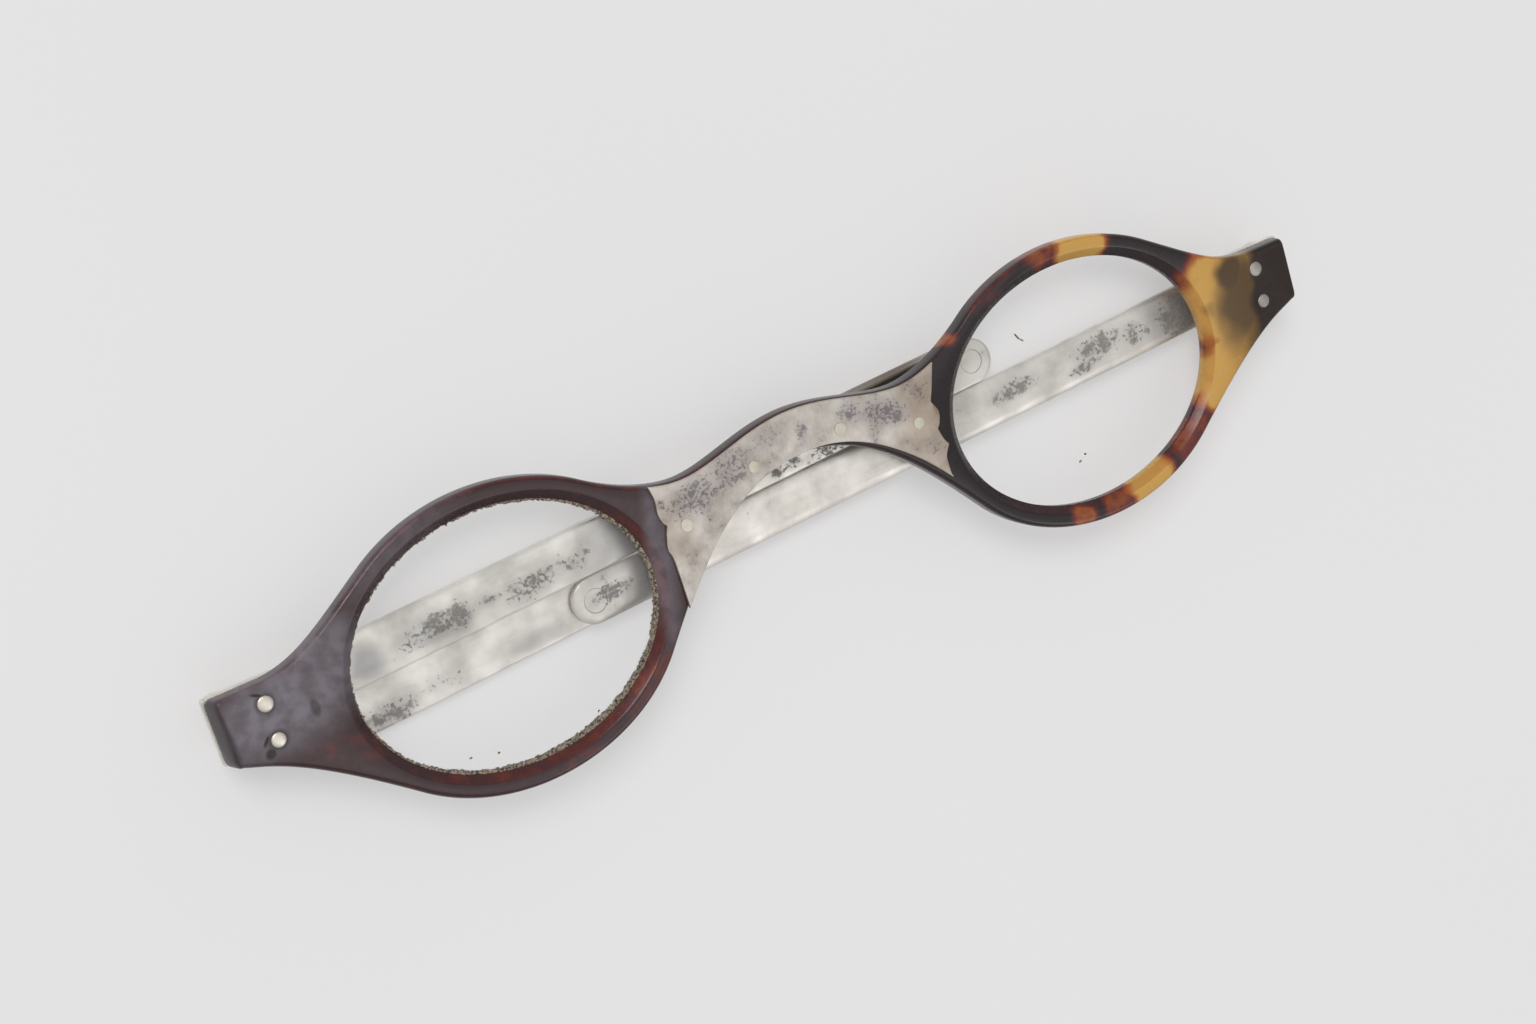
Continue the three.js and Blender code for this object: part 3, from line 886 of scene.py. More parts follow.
@dataclass(frozen=True)
class GroundGlass:
    """Crown glass, ground to a shallow curve and polished: clear, with a clean gloss."""

    tint: str = "#fefefe"
    bend: float = 1.52

    def build(self) -> Material:
        """Makes the material; lamps and soft light pass straight through it.

        Returns:
            The material.
        """
        material, tree = new_material("ground_and_polished_glass")
        tint = linear(self.tint)
        ground = {"Base Color": tint, "Roughness": 0.0, "IOR": self.bend, "Transmission Weight": 1.0}
        clear = add_node(tree, "ShaderNodeBsdfTransparent", {"Color": tint})
        path = add_node(tree, "ShaderNodeLightPath")
        passing = folded(tree, "MAXIMUM", [path.outputs["Is Shadow Ray"], path.outputs["Is Diffuse Ray"]])
        mixed = {0: passing, 1: add_node(tree, SURFACE, ground), 2: clear}
        add_node(tree, OUTPUT, {"Surface": add_node(tree, "ShaderNodeMixShader", mixed)})
        return material


@dataclass(frozen=True)
class PackedDirt:
    """Old skin grease and dust, packed into the corner of the rim: dry, sandy and dull."""

    pale: str = "#9b8f7e"
    pale_from: float = 0.6
    dark: str = "#352d27"
    dark_to: float = 0.4
    grain: float = 0.22
    detail: float = 3
    detail_rough: float = 0.7
    rough: float = 0.95
    bump_depth: float = 0.05
    bump_share: float = 0.6

    def build(self) -> Material:
        """Makes the material.

        Returns:
            The material.
        """
        material, tree = new_material("packed_dirt")
        grains = {
            "Vector": place_in_mm(tree),
            "Scale": 1 / self.grain,
            "Detail": self.detail,
            "Roughness": self.detail_rough,
        }
        sand = add_node(tree, NOISE, grains)
        colour = colour_steps(tree, sand, [(self.dark_to, self.dark), (self.pale_from, self.pale)])
        bumped = {"Height": sand, "Strength": self.bump_share, "Distance": self.bump_depth * MM}
        bump = add_node(tree, "ShaderNodeBump", bumped)
        dressed = {"Base Color": colour, "Roughness": self.rough, "Normal": bump}
        add_node(tree, OUTPUT, {"Surface": add_node(tree, SURFACE, dressed)})
        return material


@dataclass(frozen=True)
class MattPaper:
    """Smooth matt paper of the table: pale grey, with a very faint cloud and only a light shadow."""

    pale: str = "#e4e3e3"
    pale_from: float = 0.7
    dull: str = "#e2e1e1"
    dull_to: float = 0.3
    cloud: float = 150.0
    rough: float = 0.9
    gloss: float = 0.1
    lift: float = 0.5

    def build(self) -> Material:
        """Makes the material.

        Returns:
            The material.
        """
        material, tree = new_material("matt_paper")
        haze = add_node(tree, NOISE, {"Vector": place_in_mm(tree), "Scale": 1 / self.cloud})
        colour = colour_steps(tree, haze, [(self.dull_to, self.dull), (self.pale_from, self.pale)])
        dressed = {"Base Color": colour, "Roughness": self.rough, "Specular IOR Level": self.gloss}
        paper = add_node(tree, SURFACE, dressed)
        glow = add_node(tree, "ShaderNodeEmission", {"Color": colour})
        share = add_node(tree, MATH, {0: seen_rays(tree), 1: self.lift}, operation="MULTIPLY")
        lifted = add_node(tree, "ShaderNodeMixShader", {0: share, 1: paper, 2: glow})
        add_node(tree, OUTPUT, {"Surface": lifted})
        return material


PLATE_SILVER = TarnishedSilver(
    name="tarnished_silver_plate",
    bright="#dcd7d0",
    dull="#bfb7ae",
    tarnish="#625a62",
    veil_and_shade="#a29a9b",
    rough_low=0.42,
    rough_high=0.62,
    brush_size=(0.16, 3.0, 3.0),
    blot_share=0.62,
    veil_share=0.6,
    blot_grain=0.8,
    speck_grain=0.3,
    cloud_grain=2.4,
    stray=0.6,
    clusters=(
        Patch(-10.8, 5.1, 3.0, 1.6, 0.8, 10),
        Patch(-6.9, 6.0, 2.6, 1.7, 0.75, 20),
        Patch(-3.1, 7.2, 2.4, 1.1, 0.5, 10),
        Patch(0.8, 6.7, 0.7, 1.0, 0.7),
        Patch(6.0, 6.5, 1.4, 1.0, 0.8, -15),
        Patch(9.4, 5.2, 2.6, 1.3, 0.85, -22),
        Patch(7.8, 3.9, 0.8, 1.2, 0.6),
        Patch(13.2, 0.4, 1.2, 1.6, 0.45),
        Patch(-14.2, 5.6, 0.5, 0.5, 0.7),
    ),
    stains_and_shade=(
        Patch(14.0, 2.4, 3.4, 7.0, 0.5),
        Patch(14.6, 3.7, 0.5, 1.0, 0.9),
        Patch(-13.4, 3.0, 1.6, 3.2, 0.25),
    ),
)
STRIP_SILVER = TarnishedSilver(
    name="worn_silver_strip",
    bright="#f8f5ee",
    dull="#dbd7cf",
    tarnish="#574f47",
    veil_and_shade="#a8a7a7",
    stain_and_shade="#7d7366",
    rough_low=0.36,
    rough_high=0.55,
    stray=0.3,
    clusters=(
        Patch(-38.2, 2.2, 1.8, 1.0, 0.7),
        Patch(-35.6, 2.7, 2.2, 1.2, 0.95, 8),
        Patch(-33.4, 2.6, 1.0, 1.5, 0.9),
        Patch(-30.6, 2.9, 1.8, 0.6, 0.6),
        Patch(-26.6, 2.6, 2.6, 1.1, 0.85, 6),
        Patch(-22.2, 3.1, 1.8, 0.9, 0.7),
        Patch(-41.8, -3.2, 2.6, 1.3, 0.8, 4),
        Patch(-36.6, -2.4, 1.8, 0.9, 0.55),
        Patch(-19.6, -0.9, 1.9, 0.9, 0.9),
        Patch(-0.9, 2.9, 0.9, 0.7, 0.8),
        Patch(0.9, 3.2, 1.2, 0.7, 0.85),
        Patch(5.2, 3.2, 2.8, 1.0, 0.85, 6),
        Patch(25.0, 1.2, 2.6, 0.9, 0.9, 5),
        Patch(33.2, 0.4, 2.0, 0.6, 0.95, 8),
        Patch(35.2, 1.8, 2.8, 1.2, 0.9, 4),
        Patch(39.4, 1.6, 1.8, 1.2, 0.8),
        Patch(44.6, 1.6, 3.0, 2.6, 0.8),
    ),
    veils_and_shade=(
        Patch(-42.5, 2.2, 1.5, 1.5, 0.8),
        Patch(-37.0, 2.5, 2.4, 1.2, 0.5),
        Patch(-18.4, 3.4, 3.4, 2.4, 0.5),
        Patch(-27.0, -2.4, 2.4, 0.9, 0.45),
        # Painted shade: the strip darkened next to the right lug
        Patch(45.0, 1.6, 4.0, 3.0, 0.9),
    ),
    stains_and_shade=(
        # Painted shade: the strip darkened above the bridge, next to the right rim, where it mirrors the dark
        # shell
        Patch(12.5, 5.8, 7.0, 3.2, 0.95, 3),
        Patch(-34.6, 2.2, 2.0, 1.0, 0.3),
        Patch(-29.5, -2.0, 3.0, 1.0, 0.25),
    ),
    seed=7.0,
)
RIVET_SILVER = TarnishedSilver(
    name="bright_silver_rivet",
    bright="#f4eee3",
    dull="#d9d1c4",
    tarnish="#8a8378",
    rough_low=0.3,
    rough_high=0.5,
    seed=3.0,
)
PLATE_RIVET_SILVER = TarnishedSilver(
    name="filed_silver_rivet",
    bright="#e3dfd0",
    dull="#cbc5b4",
    tarnish="#857e70",
    rough_low=0.45,
    rough_high=0.62,
    seed=2.0,
)
DULL_RIVET_SILVER = TarnishedSilver(
    name="dulled_silver_rivet",
    bright="#c9c4bc",
    dull="#a39e97",
    tarnish="#5d5a55",
    rough_low=0.4,
    rough_high=0.6,
    seed=5.0,
)


class Finishes:
    """Every finish of the object, made once."""

    def __init__(self) -> None:
        """Builds the materials."""
        self.shell = PolishedTortoiseshell().build()
        self.glass = GroundGlass().build()
        self.dirt = PackedDirt().build()
        self.plate = PLATE_SILVER.build()
        self.strip = STRIP_SILVER.build()
        self.rivet = RIVET_SILVER.build()
        self.plate_rivet = PLATE_RIVET_SILVER.build()
        self.dull_rivet = DULL_RIVET_SILVER.build()


# Geometry Nodes trees


def new_geometry_tree(name: str, sockets: dict[str, str]) -> tuple[NodeTree, dict[str, NodeSocket]]:
    """Starts a Geometry Nodes tree.

    Args:
        name: the tree's name.
        sockets: the kind of each input after the geometry, by name.

    Returns:
        The tree, and what its inputs give, by name.
    """
    tree = bpy.data.node_groups.new(name, "GeometryNodeTree")
    for label, kind in {"Geometry": "Geometry", **sockets}.items():
        tree.interface.new_socket(name=label, in_out="INPUT", socket_type=f"NodeSocket{kind}")
    tree.interface.new_socket(name="Geometry", in_out="OUTPUT", socket_type="NodeSocketGeometry")
    given = tree.nodes.new("NodeGroupInput")
    return tree, {label: given.outputs[label] for label in ("Geometry", *sockets)}


def end_tree(tree: NodeTree, geometry: Node, material: NodeSocket) -> NodeTree:
    """Ends a Geometry Nodes tree with the finish of what it made.

    Args:
        tree: the tree.
        geometry: gives what the tree made.
        material: gives its finish.

    Returns:
        The same tree.
    """
    dressed = add_node(tree, "GeometryNodeSetMaterial", {"Geometry": geometry, "Material": material})
    add_node(tree, "NodeGroupOutput", {"Geometry": dressed})
    return tree


def rivet_tree(sides: int = 40, seed: int = 4) -> NodeTree:
    """A tree that sets a hammered rivet at each point, with a shank and a low dome at both ends.

    Args:
        sides: facets around a rivet.
        seed: for the rivets' uneven sizes.

    Returns:
        The tree.
    """
    lengths = ("Head Radius", "Dome Height", "Shank Radius", "Grip", "Unevenness")
    sockets = {**dict.fromkeys(lengths, "Float"), "Material": "Material"}
    tree, given = new_geometry_tree("hammered_rivets", sockets)
    radius, grip, uneven = given["Head Radius"], given["Grip"], given["Unevenness"]
    ball = add_node(tree, "GeometryNodeMeshUVSphere", {"Segments": sides, "Rings": sides // 2, "Radius": 1.0})
    squash = add_node(tree, "ShaderNodeCombineXYZ", {"X": radius, "Y": radius, "Z": given["Dome Height"]})
    round_rod = {"Vertices": sides, "Radius": given["Shank Radius"], "Depth": grip}
    rod = add_node(tree, "GeometryNodeMeshCylinder", round_rod, fill_type="NGON")
    parts = add_node(tree, "GeometryNodeJoinGeometry", {0: rod})
    for share in (0.5, -0.5):
        height = add_node(tree, MATH, {0: grip, 1: share}, operation="MULTIPLY")
        lift = add_node(tree, "ShaderNodeCombineXYZ", {"Z": height})
        moved = {"Geometry": ball, "Translation": lift, "Scale": squash}
        head = add_node(tree, "GeometryNodeTransform", moved)
        tree.links.new(head.outputs["Geometry"], parts.inputs[0])
    smooth = add_node(tree, "GeometryNodeSetShadeSmooth", {"Geometry": parts})
    less = add_node(tree, MATH, {0: 1.0, 1: uneven}, operation="SUBTRACT")
    more = add_node(tree, MATH, {0: 1.0, 1: uneven})
    sizes = {"Min": less, "Max": more, "Seed": seed}
    size = add_node(tree, "FunctionNodeRandomValue", sizes, data_type="FLOAT")
    spread = add_node(tree, "ShaderNodeCombineXYZ", {"X": size, "Y": size, "Z": 1.0})
    placed = {"Points": given["Geometry"], "Instance": smooth, "Scale": spread}
    rivets = add_node(tree, "GeometryNodeInstanceOnPoints", placed)
    real = add_node(tree, "GeometryNodeRealizeInstances", {"Geometry": rivets})
    return end_tree(tree, real, given["Material"])


def grain_tree(least: Place3 = (0.4, 0.4, 0.3), most: Place3 = (1.5, 1.3, 0.9)) -> NodeTree:
    """A tree that scatters sandy grains over a line of dirt and keeps the line itself.

    Args:
        least: the smallest stretch of a grain along its three axes.
        most: the largest stretch.

    Returns:
        The tree.
    """
    sockets = {"Grain Radius": "Float", "Grains Per Area": "Float", "Seed": "Int", "Material": "Material"}
    tree, given = new_geometry_tree("dirt_grains", sockets)
    line, seed = given["Geometry"], given["Seed"]
    scattered = {"Mesh": line, "Density": given["Grains Per Area"], "Seed": seed}
    spots = add_node(tree, "GeometryNodeDistributePointsOnFaces", scattered)
    grain = add_node(tree, "GeometryNodeMeshIcoSphere", {"Radius": given["Grain Radius"], "Subdivisions": 1})
    sizes = {0: least, 1: most, "Seed": seed}
    size = add_node(tree, "FunctionNodeRandomValue", sizes, data_type="FLOAT_VECTOR")
    placed = {"Points": spots, "Instance": grain, "Rotation": spots.outputs["Rotation"], "Scale": size}
    grains = add_node(tree, "GeometryNodeInstanceOnPoints", placed)
    real = add_node(tree, "GeometryNodeRealizeInstances", {"Geometry": grains})
    joined = add_node(tree, "GeometryNodeJoinGeometry", {0: real})
    tree.links.new(line, joined.inputs[0])
    return end_tree(tree, joined, given["Material"])


def grown(piece: Object, tree: NodeTree, values: dict[str, Any]) -> Object:
    """Runs a Geometry Nodes tree on an object and keeps its result as a plain mesh.

    Args:
        piece: the object with the points or the surface to start from.
        tree: the tree.
        values: a value for each of the tree's inputs, by name.

    Returns:
        The same object, with no modifier left.
    """
    modifier = piece.modifiers.new(tree.name, "NODES")
    modifier.node_group = tree
    for item in tree.interface.items_tree:
        if item.in_out == "INPUT" and item.name in values:
            modifier[item.identifier] = values[item.name]
    graph = bpy.context.evaluated_depsgraph_get()
    mesh = bpy.data.meshes.new_from_object(piece.evaluated_get(graph))
    piece.modifiers.clear()
    mesh.name = piece.name
    piece.data = mesh
    return piece


# The frame


def set_piece(piece: Object, body: str, slot: Slot, *nodes: str) -> None:
    """Joins a finished piece to the frame and reports it.

    Args:
        piece: the piece.
        body: the body that it rides on.
        slot: the material slot that its finish belongs to; not used.
        nodes: the CAD nodes that it stands for, if any.
    """
    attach(piece, body)
    if nodes:
        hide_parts(*nodes)
    LOG.info("%s: %d faces, rides on %s", piece.name, len(piece.data.polygons), body)


def box_mm(node: str) -> tuple[Vector, Vector]:
    """The lowest and highest corner of a CAD node, in millimetres."""
    low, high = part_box(node)
    return low / MM, high / MM


def level(node: str) -> tuple[float, float]:
    """The lowest and highest height of a CAD node, in millimetres."""
    low, high = box_mm(node)
    return low.z, high.z


def middle(node: str) -> Vector:
    """The middle of a CAD node's box, in millimetres."""
    low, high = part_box(node)
    return (low + high) / 2 / MM


# The front


@dataclass
class ShellFront:
    """The tortoiseshell front with its rims, bridge and lugs, and the two lenses in it."""

    finishes: Finishes
    opening_wide: float = 30.56
    opening_high: float = 24.58
    rim_width: float = 1.25
    bridge_top: float = 9.0
    bridge_waist: float = 7.05
    waist_in: float = 19.35
    nose_shoulder: float = 0.39
    waist_shoulder: float = 0.7
    arch_top: float = 4.65
    front_wide: float = 114.4
    lug_reach: float = 9.82
    lug_top: float = 5.25
    lug_bottom: float = -1.0
    lug_corner: float = 0.9
    lug_straight: float = 4.2
    lug_flare: float = 0.95
    nose_leave: float = 130
    nose_ease: float = 3.5
    waist_ease: float = 2.5
    lug_leave: float = 52
    lug_ease: float = 6.5
    lug_return: float = -45
    return_ease: float = 9.5
    arch_leave: float = -147
    arch_ease: float = 8
    arch_shoulder: float = 7
    edge_round: float = 0.5
    end_slope: float = 0.7
    end_reach: float = 2.4
    back_round: float = 0.3
    rim_bevel: float = 0.8
    rim_lip: float = 0.1
    bevel_foot: tuple[tuple[float, float], ...] = ((0.0, -0.05), (0.03, 0.0), (0.1, 0.07))
    bevel_crest: tuple[tuple[float, float], ...] = ((-0.12, -0.12), (-0.02, -0.04), (0.12, 0.0))
    lens_edge: float = 0.5
    lens_crown: float = 0.45
    lens_hollow: float = 0.25
    groove: float = 0.4
    oval_sides: int = 180
    lens_steps: int = 16
    nose_steps: int = 40
    brow_steps: int = 30
    arch_steps: int = 70
    lug_steps: int = 40
    corner_steps: int = 8
    return_steps: int = 44
    upper_rim_steps: int = 64
    lower_rim_steps: int = 80

    def __post_init__(self) -> None:
        """Works out the places that follow from the sizes."""
        self.rim_a = self.opening_wide / 2 + self.rim_width
        self.rim_b = self.opening_high / 2 + self.rim_width
        self.seat_a = self.opening_wide / 2 - self.rim_bevel
        self.seat_b = self.opening_high / 2 - self.rim_bevel
        self.lug_end = self.front_wide / 2
        self.lens_x = self.lug_end - self.lug_reach - self.rim_a
        self.back, self.face = level("front_frame")

    def rim_point(self, degrees: float) -> Vector:
        """A point on the outside of the right rim."""
        angle = math.radians(degrees)
        return flat(self.lens_x + self.rim_a * math.cos(angle), self.rim_b * math.sin(angle))

    def along_rim(self, degrees: float, step: float) -> Vector:
        """Leaves the right rim along its tangent.

        Args:
            degrees: where on the rim.
            step: how far to go, clockwise when it is positive.

        Returns:
            The point reached.
        """
        angle = math.radians(degrees)
        way = flat(self.rim_a * math.sin(angle), -self.rim_b * math.cos(angle)).normalized()
        return self.rim_point(degrees) + step * way

    def rim_arc(self, start: float, end: float, count: int) -> Loop:
        """A stretch of the outside of the right rim."""
        return oval_arc(self.lens_x, self.rim_a, self.rim_b, start, end, count)

    def upper_bridge(self) -> Loop:
        """Draws the bridge's upper edge.

        Returns:
            The points, from the middle of the nose out to the right rim.
        """
        waist = flat(self.lens_x - self.waist_in, self.bridge_waist)
        nose = [
            flat(0, self.bridge_top),
            flat(self.nose_shoulder * waist.x, self.bridge_top),
            flat(self.waist_shoulder * waist.x, waist.y),
            waist,
        ]
        brow = [
            waist,
            flat(waist.x + self.waist_ease, waist.y),
            self.along_rim(self.nose_leave, -self.nose_ease),
            self.rim_point(self.nose_leave),
        ]
        return bezier(nose, self.nose_steps) + bezier(brow, self.brow_steps)[1:]

    def lower_bridge(self) -> Loop:
        """Draws the bridge's lower edge.

        Returns:
            The points, from the right rim in to the middle of the nose.
        """
        arch = [
            self.rim_point(self.arch_leave),
            self.along_rim(self.arch_leave, self.arch_ease),
            flat(self.arch_shoulder, self.arch_top),
            flat(0, self.arch_top),
        ]
        return bezier(arch, self.arch_steps)

    def lug_edge(self) -> Loop:
        """Draws the outline of the right lug.

        Returns:
            The points, from the top of the rim round to the bottom of it.
        """
        end, corner, straight_from = self.lug_end, self.lug_corner, self.lug_end - self.lug_straight
        top, bottom = self.lug_top, self.lug_bottom
        over = [
            self.rim_point(self.lug_leave),
            self.along_rim(self.lug_leave, self.lug_ease),
            flat(straight_from - self.lug_straight, top),
            flat(straight_from, top),
        ]
        upper = [flat(end - corner, top), flat(end, top), flat(end, top - corner)]
        lower = [flat(end, bottom + corner), flat(end, bottom), flat(end - corner, bottom)]
        under = [
            lower[-1],
            flat(straight_from, bottom - self.lug_flare),
            self.along_rim(self.lug_return, -self.return_ease),
            self.rim_point(self.lug_return),
        ]
        end_edge = bezier(upper, self.corner_steps) + bezier(lower, self.corner_steps)
        return bezier(over, self.lug_steps) + end_edge + bezier(under, self.return_steps)

    def outline(self) -> Loop:
        """Draws the whole outline.

        Returns:
            The points, counter-clockwise.
        """
        half = self.upper_bridge()
        half += self.rim_arc(self.nose_leave, self.lug_leave, self.upper_rim_steps)
        half += self.lug_edge()
        half += self.rim_arc(self.lug_return, self.arch_leave, self.lower_rim_steps)
        half += self.lower_bridge()
        return mirrored_outline(half, half)

    def rim_section(self) -> Section:
        """Draws the inside of a rim: rounded at the back, straight past the lens and sloped to the face.

        Returns:
            The side.
        """
        both = rounded_edge(self.back, self.face, self.back_round)
        foot = (self.back + self.face) / 2 + self.lens_edge / 2 + self.rim_lip
        slope = [(inset, foot + rise) for inset, rise in self.bevel_foot]
        slope += [(self.rim_bevel + inset, self.face + rise) for inset, rise in self.bevel_crest]
        return both[: len(both) // 2] + slope

    def build_shell(self) -> None:
        """Makes the front itself."""
        sketch = PieceMesh()
        loops = [self.outline()]
        sections = [rounded_edge(self.back, self.face, self.edge_round)]
        for side in Side:
            hole = oval_arc(side.value * self.lens_x, self.seat_a, self.seat_b, 360, 0, self.oval_sides)
            loops.append(hole[:-1])
            sections.append(self.rim_section())
        sketch.plate(loops, sections)
        self.slope_ends(sketch)
        piece = sketch.finish("shell_front", self.finishes.shell)
        set_piece(piece, "front", Slot.SHELL, "front_frame")

    def slope_ends(self, sketch: PieceMesh) -> None:
        """Files the end of each lug to a slope that leans in towards the face.

        Args:
            sketch: the front's mesh.
        """
        for vert in sketch.bm.verts:
            near = 1 - (self.lug_end - abs(vert.co.x)) / self.end_reach
            if near > 0:
                rise = (vert.co.z - self.back) / (self.face - self.back)
                vert.co.x -= math.copysign(self.end_slope * near**2 * rise, vert.co.x)

    def lens_face(self, share: float, facing: int) -> float:
        """How far a lens face lies out from the middle plane.

        Args:
            share: how far out to the lens's edge, from 0 to 1.
            facing: 1 for the domed front, -1 for the slightly hollow back.

        Returns:
            The distance in millimetres.
        """
        dome = self.lens_crown if facing > 0 else -self.lens_hollow
        return self.lens_edge / 2 + dome * (1 - share**2)

    def build_lens(self, side: Side) -> None:
        """Makes a lens, a shallow dome whose edge runs in the rim.

        Args:
            side: which lens.
        """
        node = f"{side.label}_lens"
        half_wide = self.seat_a + self.groove
        half_high = self.seat_b + self.groove
        shares = [i / self.lens_steps for i in range(self.lens_steps + 1)]
        under = [(s * half_wide, -self.lens_face(s, -1)) for s in shares]
        over = [(s * half_wide, self.lens_face(s, 1)) for s in reversed(shares)]
        stretch = Matrix.Diagonal((1, half_high / half_wide, 1, 1))
        sketch = PieceMesh()
        sketch.lathe(under + over, self.oval_sides, Matrix.Translation(middle(node)) @ stretch)
        piece = sketch.finish(f"{node}_glass", self.finishes.glass)
        set_piece(piece, "front", Slot.GLASS, node)


@dataclass
class DirtLine:
    """The line of packed dirt where a lens meets its rim, and the few flakes stuck to the glass."""

    front: ShellFront
    side: Side
    width: float = 0.4
    least_width: float = 0.02
    thin_share: float = 0.35
    spread: float = 0.3
    height: float = 0.06
    bite: float = 0.1
    profile: tuple[tuple[float, float], ...] = (
        (0, 1.0),
        (0.35, 0.8),
        (0.7, 0.45),
        (1, 0.0),
        (1, -0.5),
        (0, -0.5),
    )
    lumps: float = 9.0
    lump_seed: float = 3.0
    grit: float = 40.0
    grit_seed: float = 5.0
    grit_shape: tuple[float, float, int] = (0.4, 2.3, 4)
    uneven: float = 0.4
    grains_per_mm2: float = 40.0
    grain_radius: float = 0.06
    grain_seed: int = 11
    thick_at: float = -40.0
    flakes: tuple[Patch, ...] = ()
    flake_profile: tuple[tuple[float, float], ...] = (
        (0, -0.03),
        (1.0, -0.03),
        (0.9, 0.03),
        (0.5, 0.05),
        (0, 0.04),
    )
    flake_sides: int = 14
    sides: int = 1400

    def __post_init__(self) -> None:
        """Finds the middle of the lens."""
        self.centre = middle(f"{self.side.label}_lens")

    def ring(self, turn: float, facing: int) -> Loop:
        """A cross-section of the line.

        Args:
            turn: where around the lens, in radians.
            facing: 1 on the front of the lens, -1 on its back.

        Returns:
            Its points, as a closed loop.
        """
        front = self.front
        way = Vector((math.cos(turn), math.sin(turn), 0))
        lump = noise.noise(way * self.lumps + Vector((self.side.value * self.lump_seed, 0, facing)))
        gritty = way * self.grit + Vector((0, self.side.value * self.grit_seed, facing))
        fine = noise.fractal(gritty, *self.grit_shape)
        thick = 0.5 + 0.5 * math.cos(turn - math.radians(self.thick_at))
        ragged = self.spread * (self.uneven * lump + self.uneven * fine)
        width = max(self.least_width, self.width * (self.thin_share + thick) + ragged)
        points = []
        for share, rise in self.profile:
            inset = share * width - self.bite
            half_wide = front.seat_a - inset
            half_high = front.seat_b - inset
            reach = half_wide / (front.seat_a + front.groove)
            lift = front.lens_face(reach, facing) + rise * self.height * (1 + self.uneven * fine)
            points.append(self.centre + Vector((half_wide * way.x, half_high * way.y, facing * lift)))
        return points

    def flake_place(self, flake: Patch) -> Matrix:
        """Where a flake lies on the front of the lens.

        Args:
            flake: its place, size and turn.

        Returns:
            What carries a round flake of 1 mm radius there.
        """
        share = (flat(flake.x, flake.y) - self.centre.to_2d()).length / self.front.seat_a
        top = self.centre.z + self.front.lens_face(share, 1)
        turn = Matrix.Rotation(math.radians(flake.turn), 4, "Z")
        stretch = Matrix.Diagonal((flake.half_wide, flake.half_high, 1, 1))
        return Matrix.Translation((flake.x, flake.y, top)) @ turn @ stretch

    def build(self) -> None:
        """Makes the line on both faces of the lens, with its grains and flakes."""
        sketch = PieceMesh()
        for facing in (1, -1):
            turns = [2 * math.pi * i / self.sides for i in range(self.sides)]
            sketch.tube([self.ring(turn, facing) for turn in turns])
        for flake in self.flakes:
            sketch.lathe(list(self.flake_profile), self.flake_sides, self.flake_place(flake))
        dirt = self.front.finishes.dirt
        piece = sketch.finish(f"{self.side.label}_lens_dirt_line", dirt, crease=180)
        values = {
            "Grain Radius": self.grain_radius * MM,
            "Grains Per Area": self.grains_per_mm2 / MM**2,
            "Seed": self.grain_seed + self.side.value,
            "Material": dirt,
        }
        grown(piece, grain_tree(), values)
        set_piece(piece, "front", Slot.SHELL)


LEFT_FLAKES = (
    Patch(-37.6, -8.6, 0.14, 0.08),
    Patch(-35.1, -9.2, 0.1, 0.08),
    Patch(-25.3, -9.6, 0.12, 0.06, 1.0, 30),
)
RIGHT_FLAKES = (
    Patch(25.2, 6.6, 0.42, 0.09, 1.0, -62),
    Patch(25.6, 6.1, 0.24, 0.08, 1.0, -50),
    Patch(28.9, -6.7, 0.12, 0.09),
    Patch(28.2, -7.2, 0.16, 0.1, 1.0, 20),
)


# Rivets


@dataclass(frozen=True)
class Rivets:
    """The sizes of a group of hammered rivets."""

    head: float
    dome: float
    shank: float = 0.42
    uneven: float = 0.06

    def build(self, name: str, nodes: list[str], material: Material) -> None:
        """Makes the rivets where the CAD has them.

        Args:
            name: the piece's name.
            nodes: the CAD nodes that it stands for.
            material: the rivets' finish.
        """
        low, high = level(nodes[0])
        mesh = bpy.data.meshes.new(name)
        mesh.from_pydata([middle(node) * MM for node in nodes], [], [])
        values = {
            "Head Radius": self.head * MM,
            "Dome Height": self.dome * MM,
            "Shank Radius": self.shank * MM,
            "Grip": (high - low - 2 * self.dome) * MM,
            "Unevenness": self.uneven,
            "Material": material,
        }
        set_piece(grown(shown(name, mesh), rivet_tree(), values), "front", Slot.RIVET, *nodes)


# The bridge plate


@dataclass(frozen=True)
class PlateEnd:
    """How one end of the bridge plate is cut, as it would lie on the right.

    The knots run down from the upper tip to the lower one, and the edge turns sharply at some of them.
    """

    upper_tip: float
    lower_tip: float
    knots: tuple[tuple[float, float], ...]
    corners: tuple[int, ...]


PLATE_ENDS = {
    Side.LEFT: PlateEnd(
        upper_tip=14.95,
        lower_tip=14.6,
        knots=(
            (14.6, 6.2),
            (14.72, 4.95),
            (14.5, 4.0),
            (14.2, 3.65),
            (14.5, 2.9),
            (14.8, 1.6),
            (14.55, 0.3),
        ),
        corners=(3,),
    ),
    Side.RIGHT: PlateEnd(
        upper_tip=15.6,
        lower_tip=14.3,
        knots=(
            (14.75, 5.75),
            (14.2, 4.4),
            (14.72, 3.25),
            (14.46, 2.2),
            (14.14, 1.75),
            (14.45, 0.65),
            (14.82, 0.0),
            (14.25, -1.0),
            (14.2, -2.2),
        ),
        corners=(1, 4, 6),
    ),
}


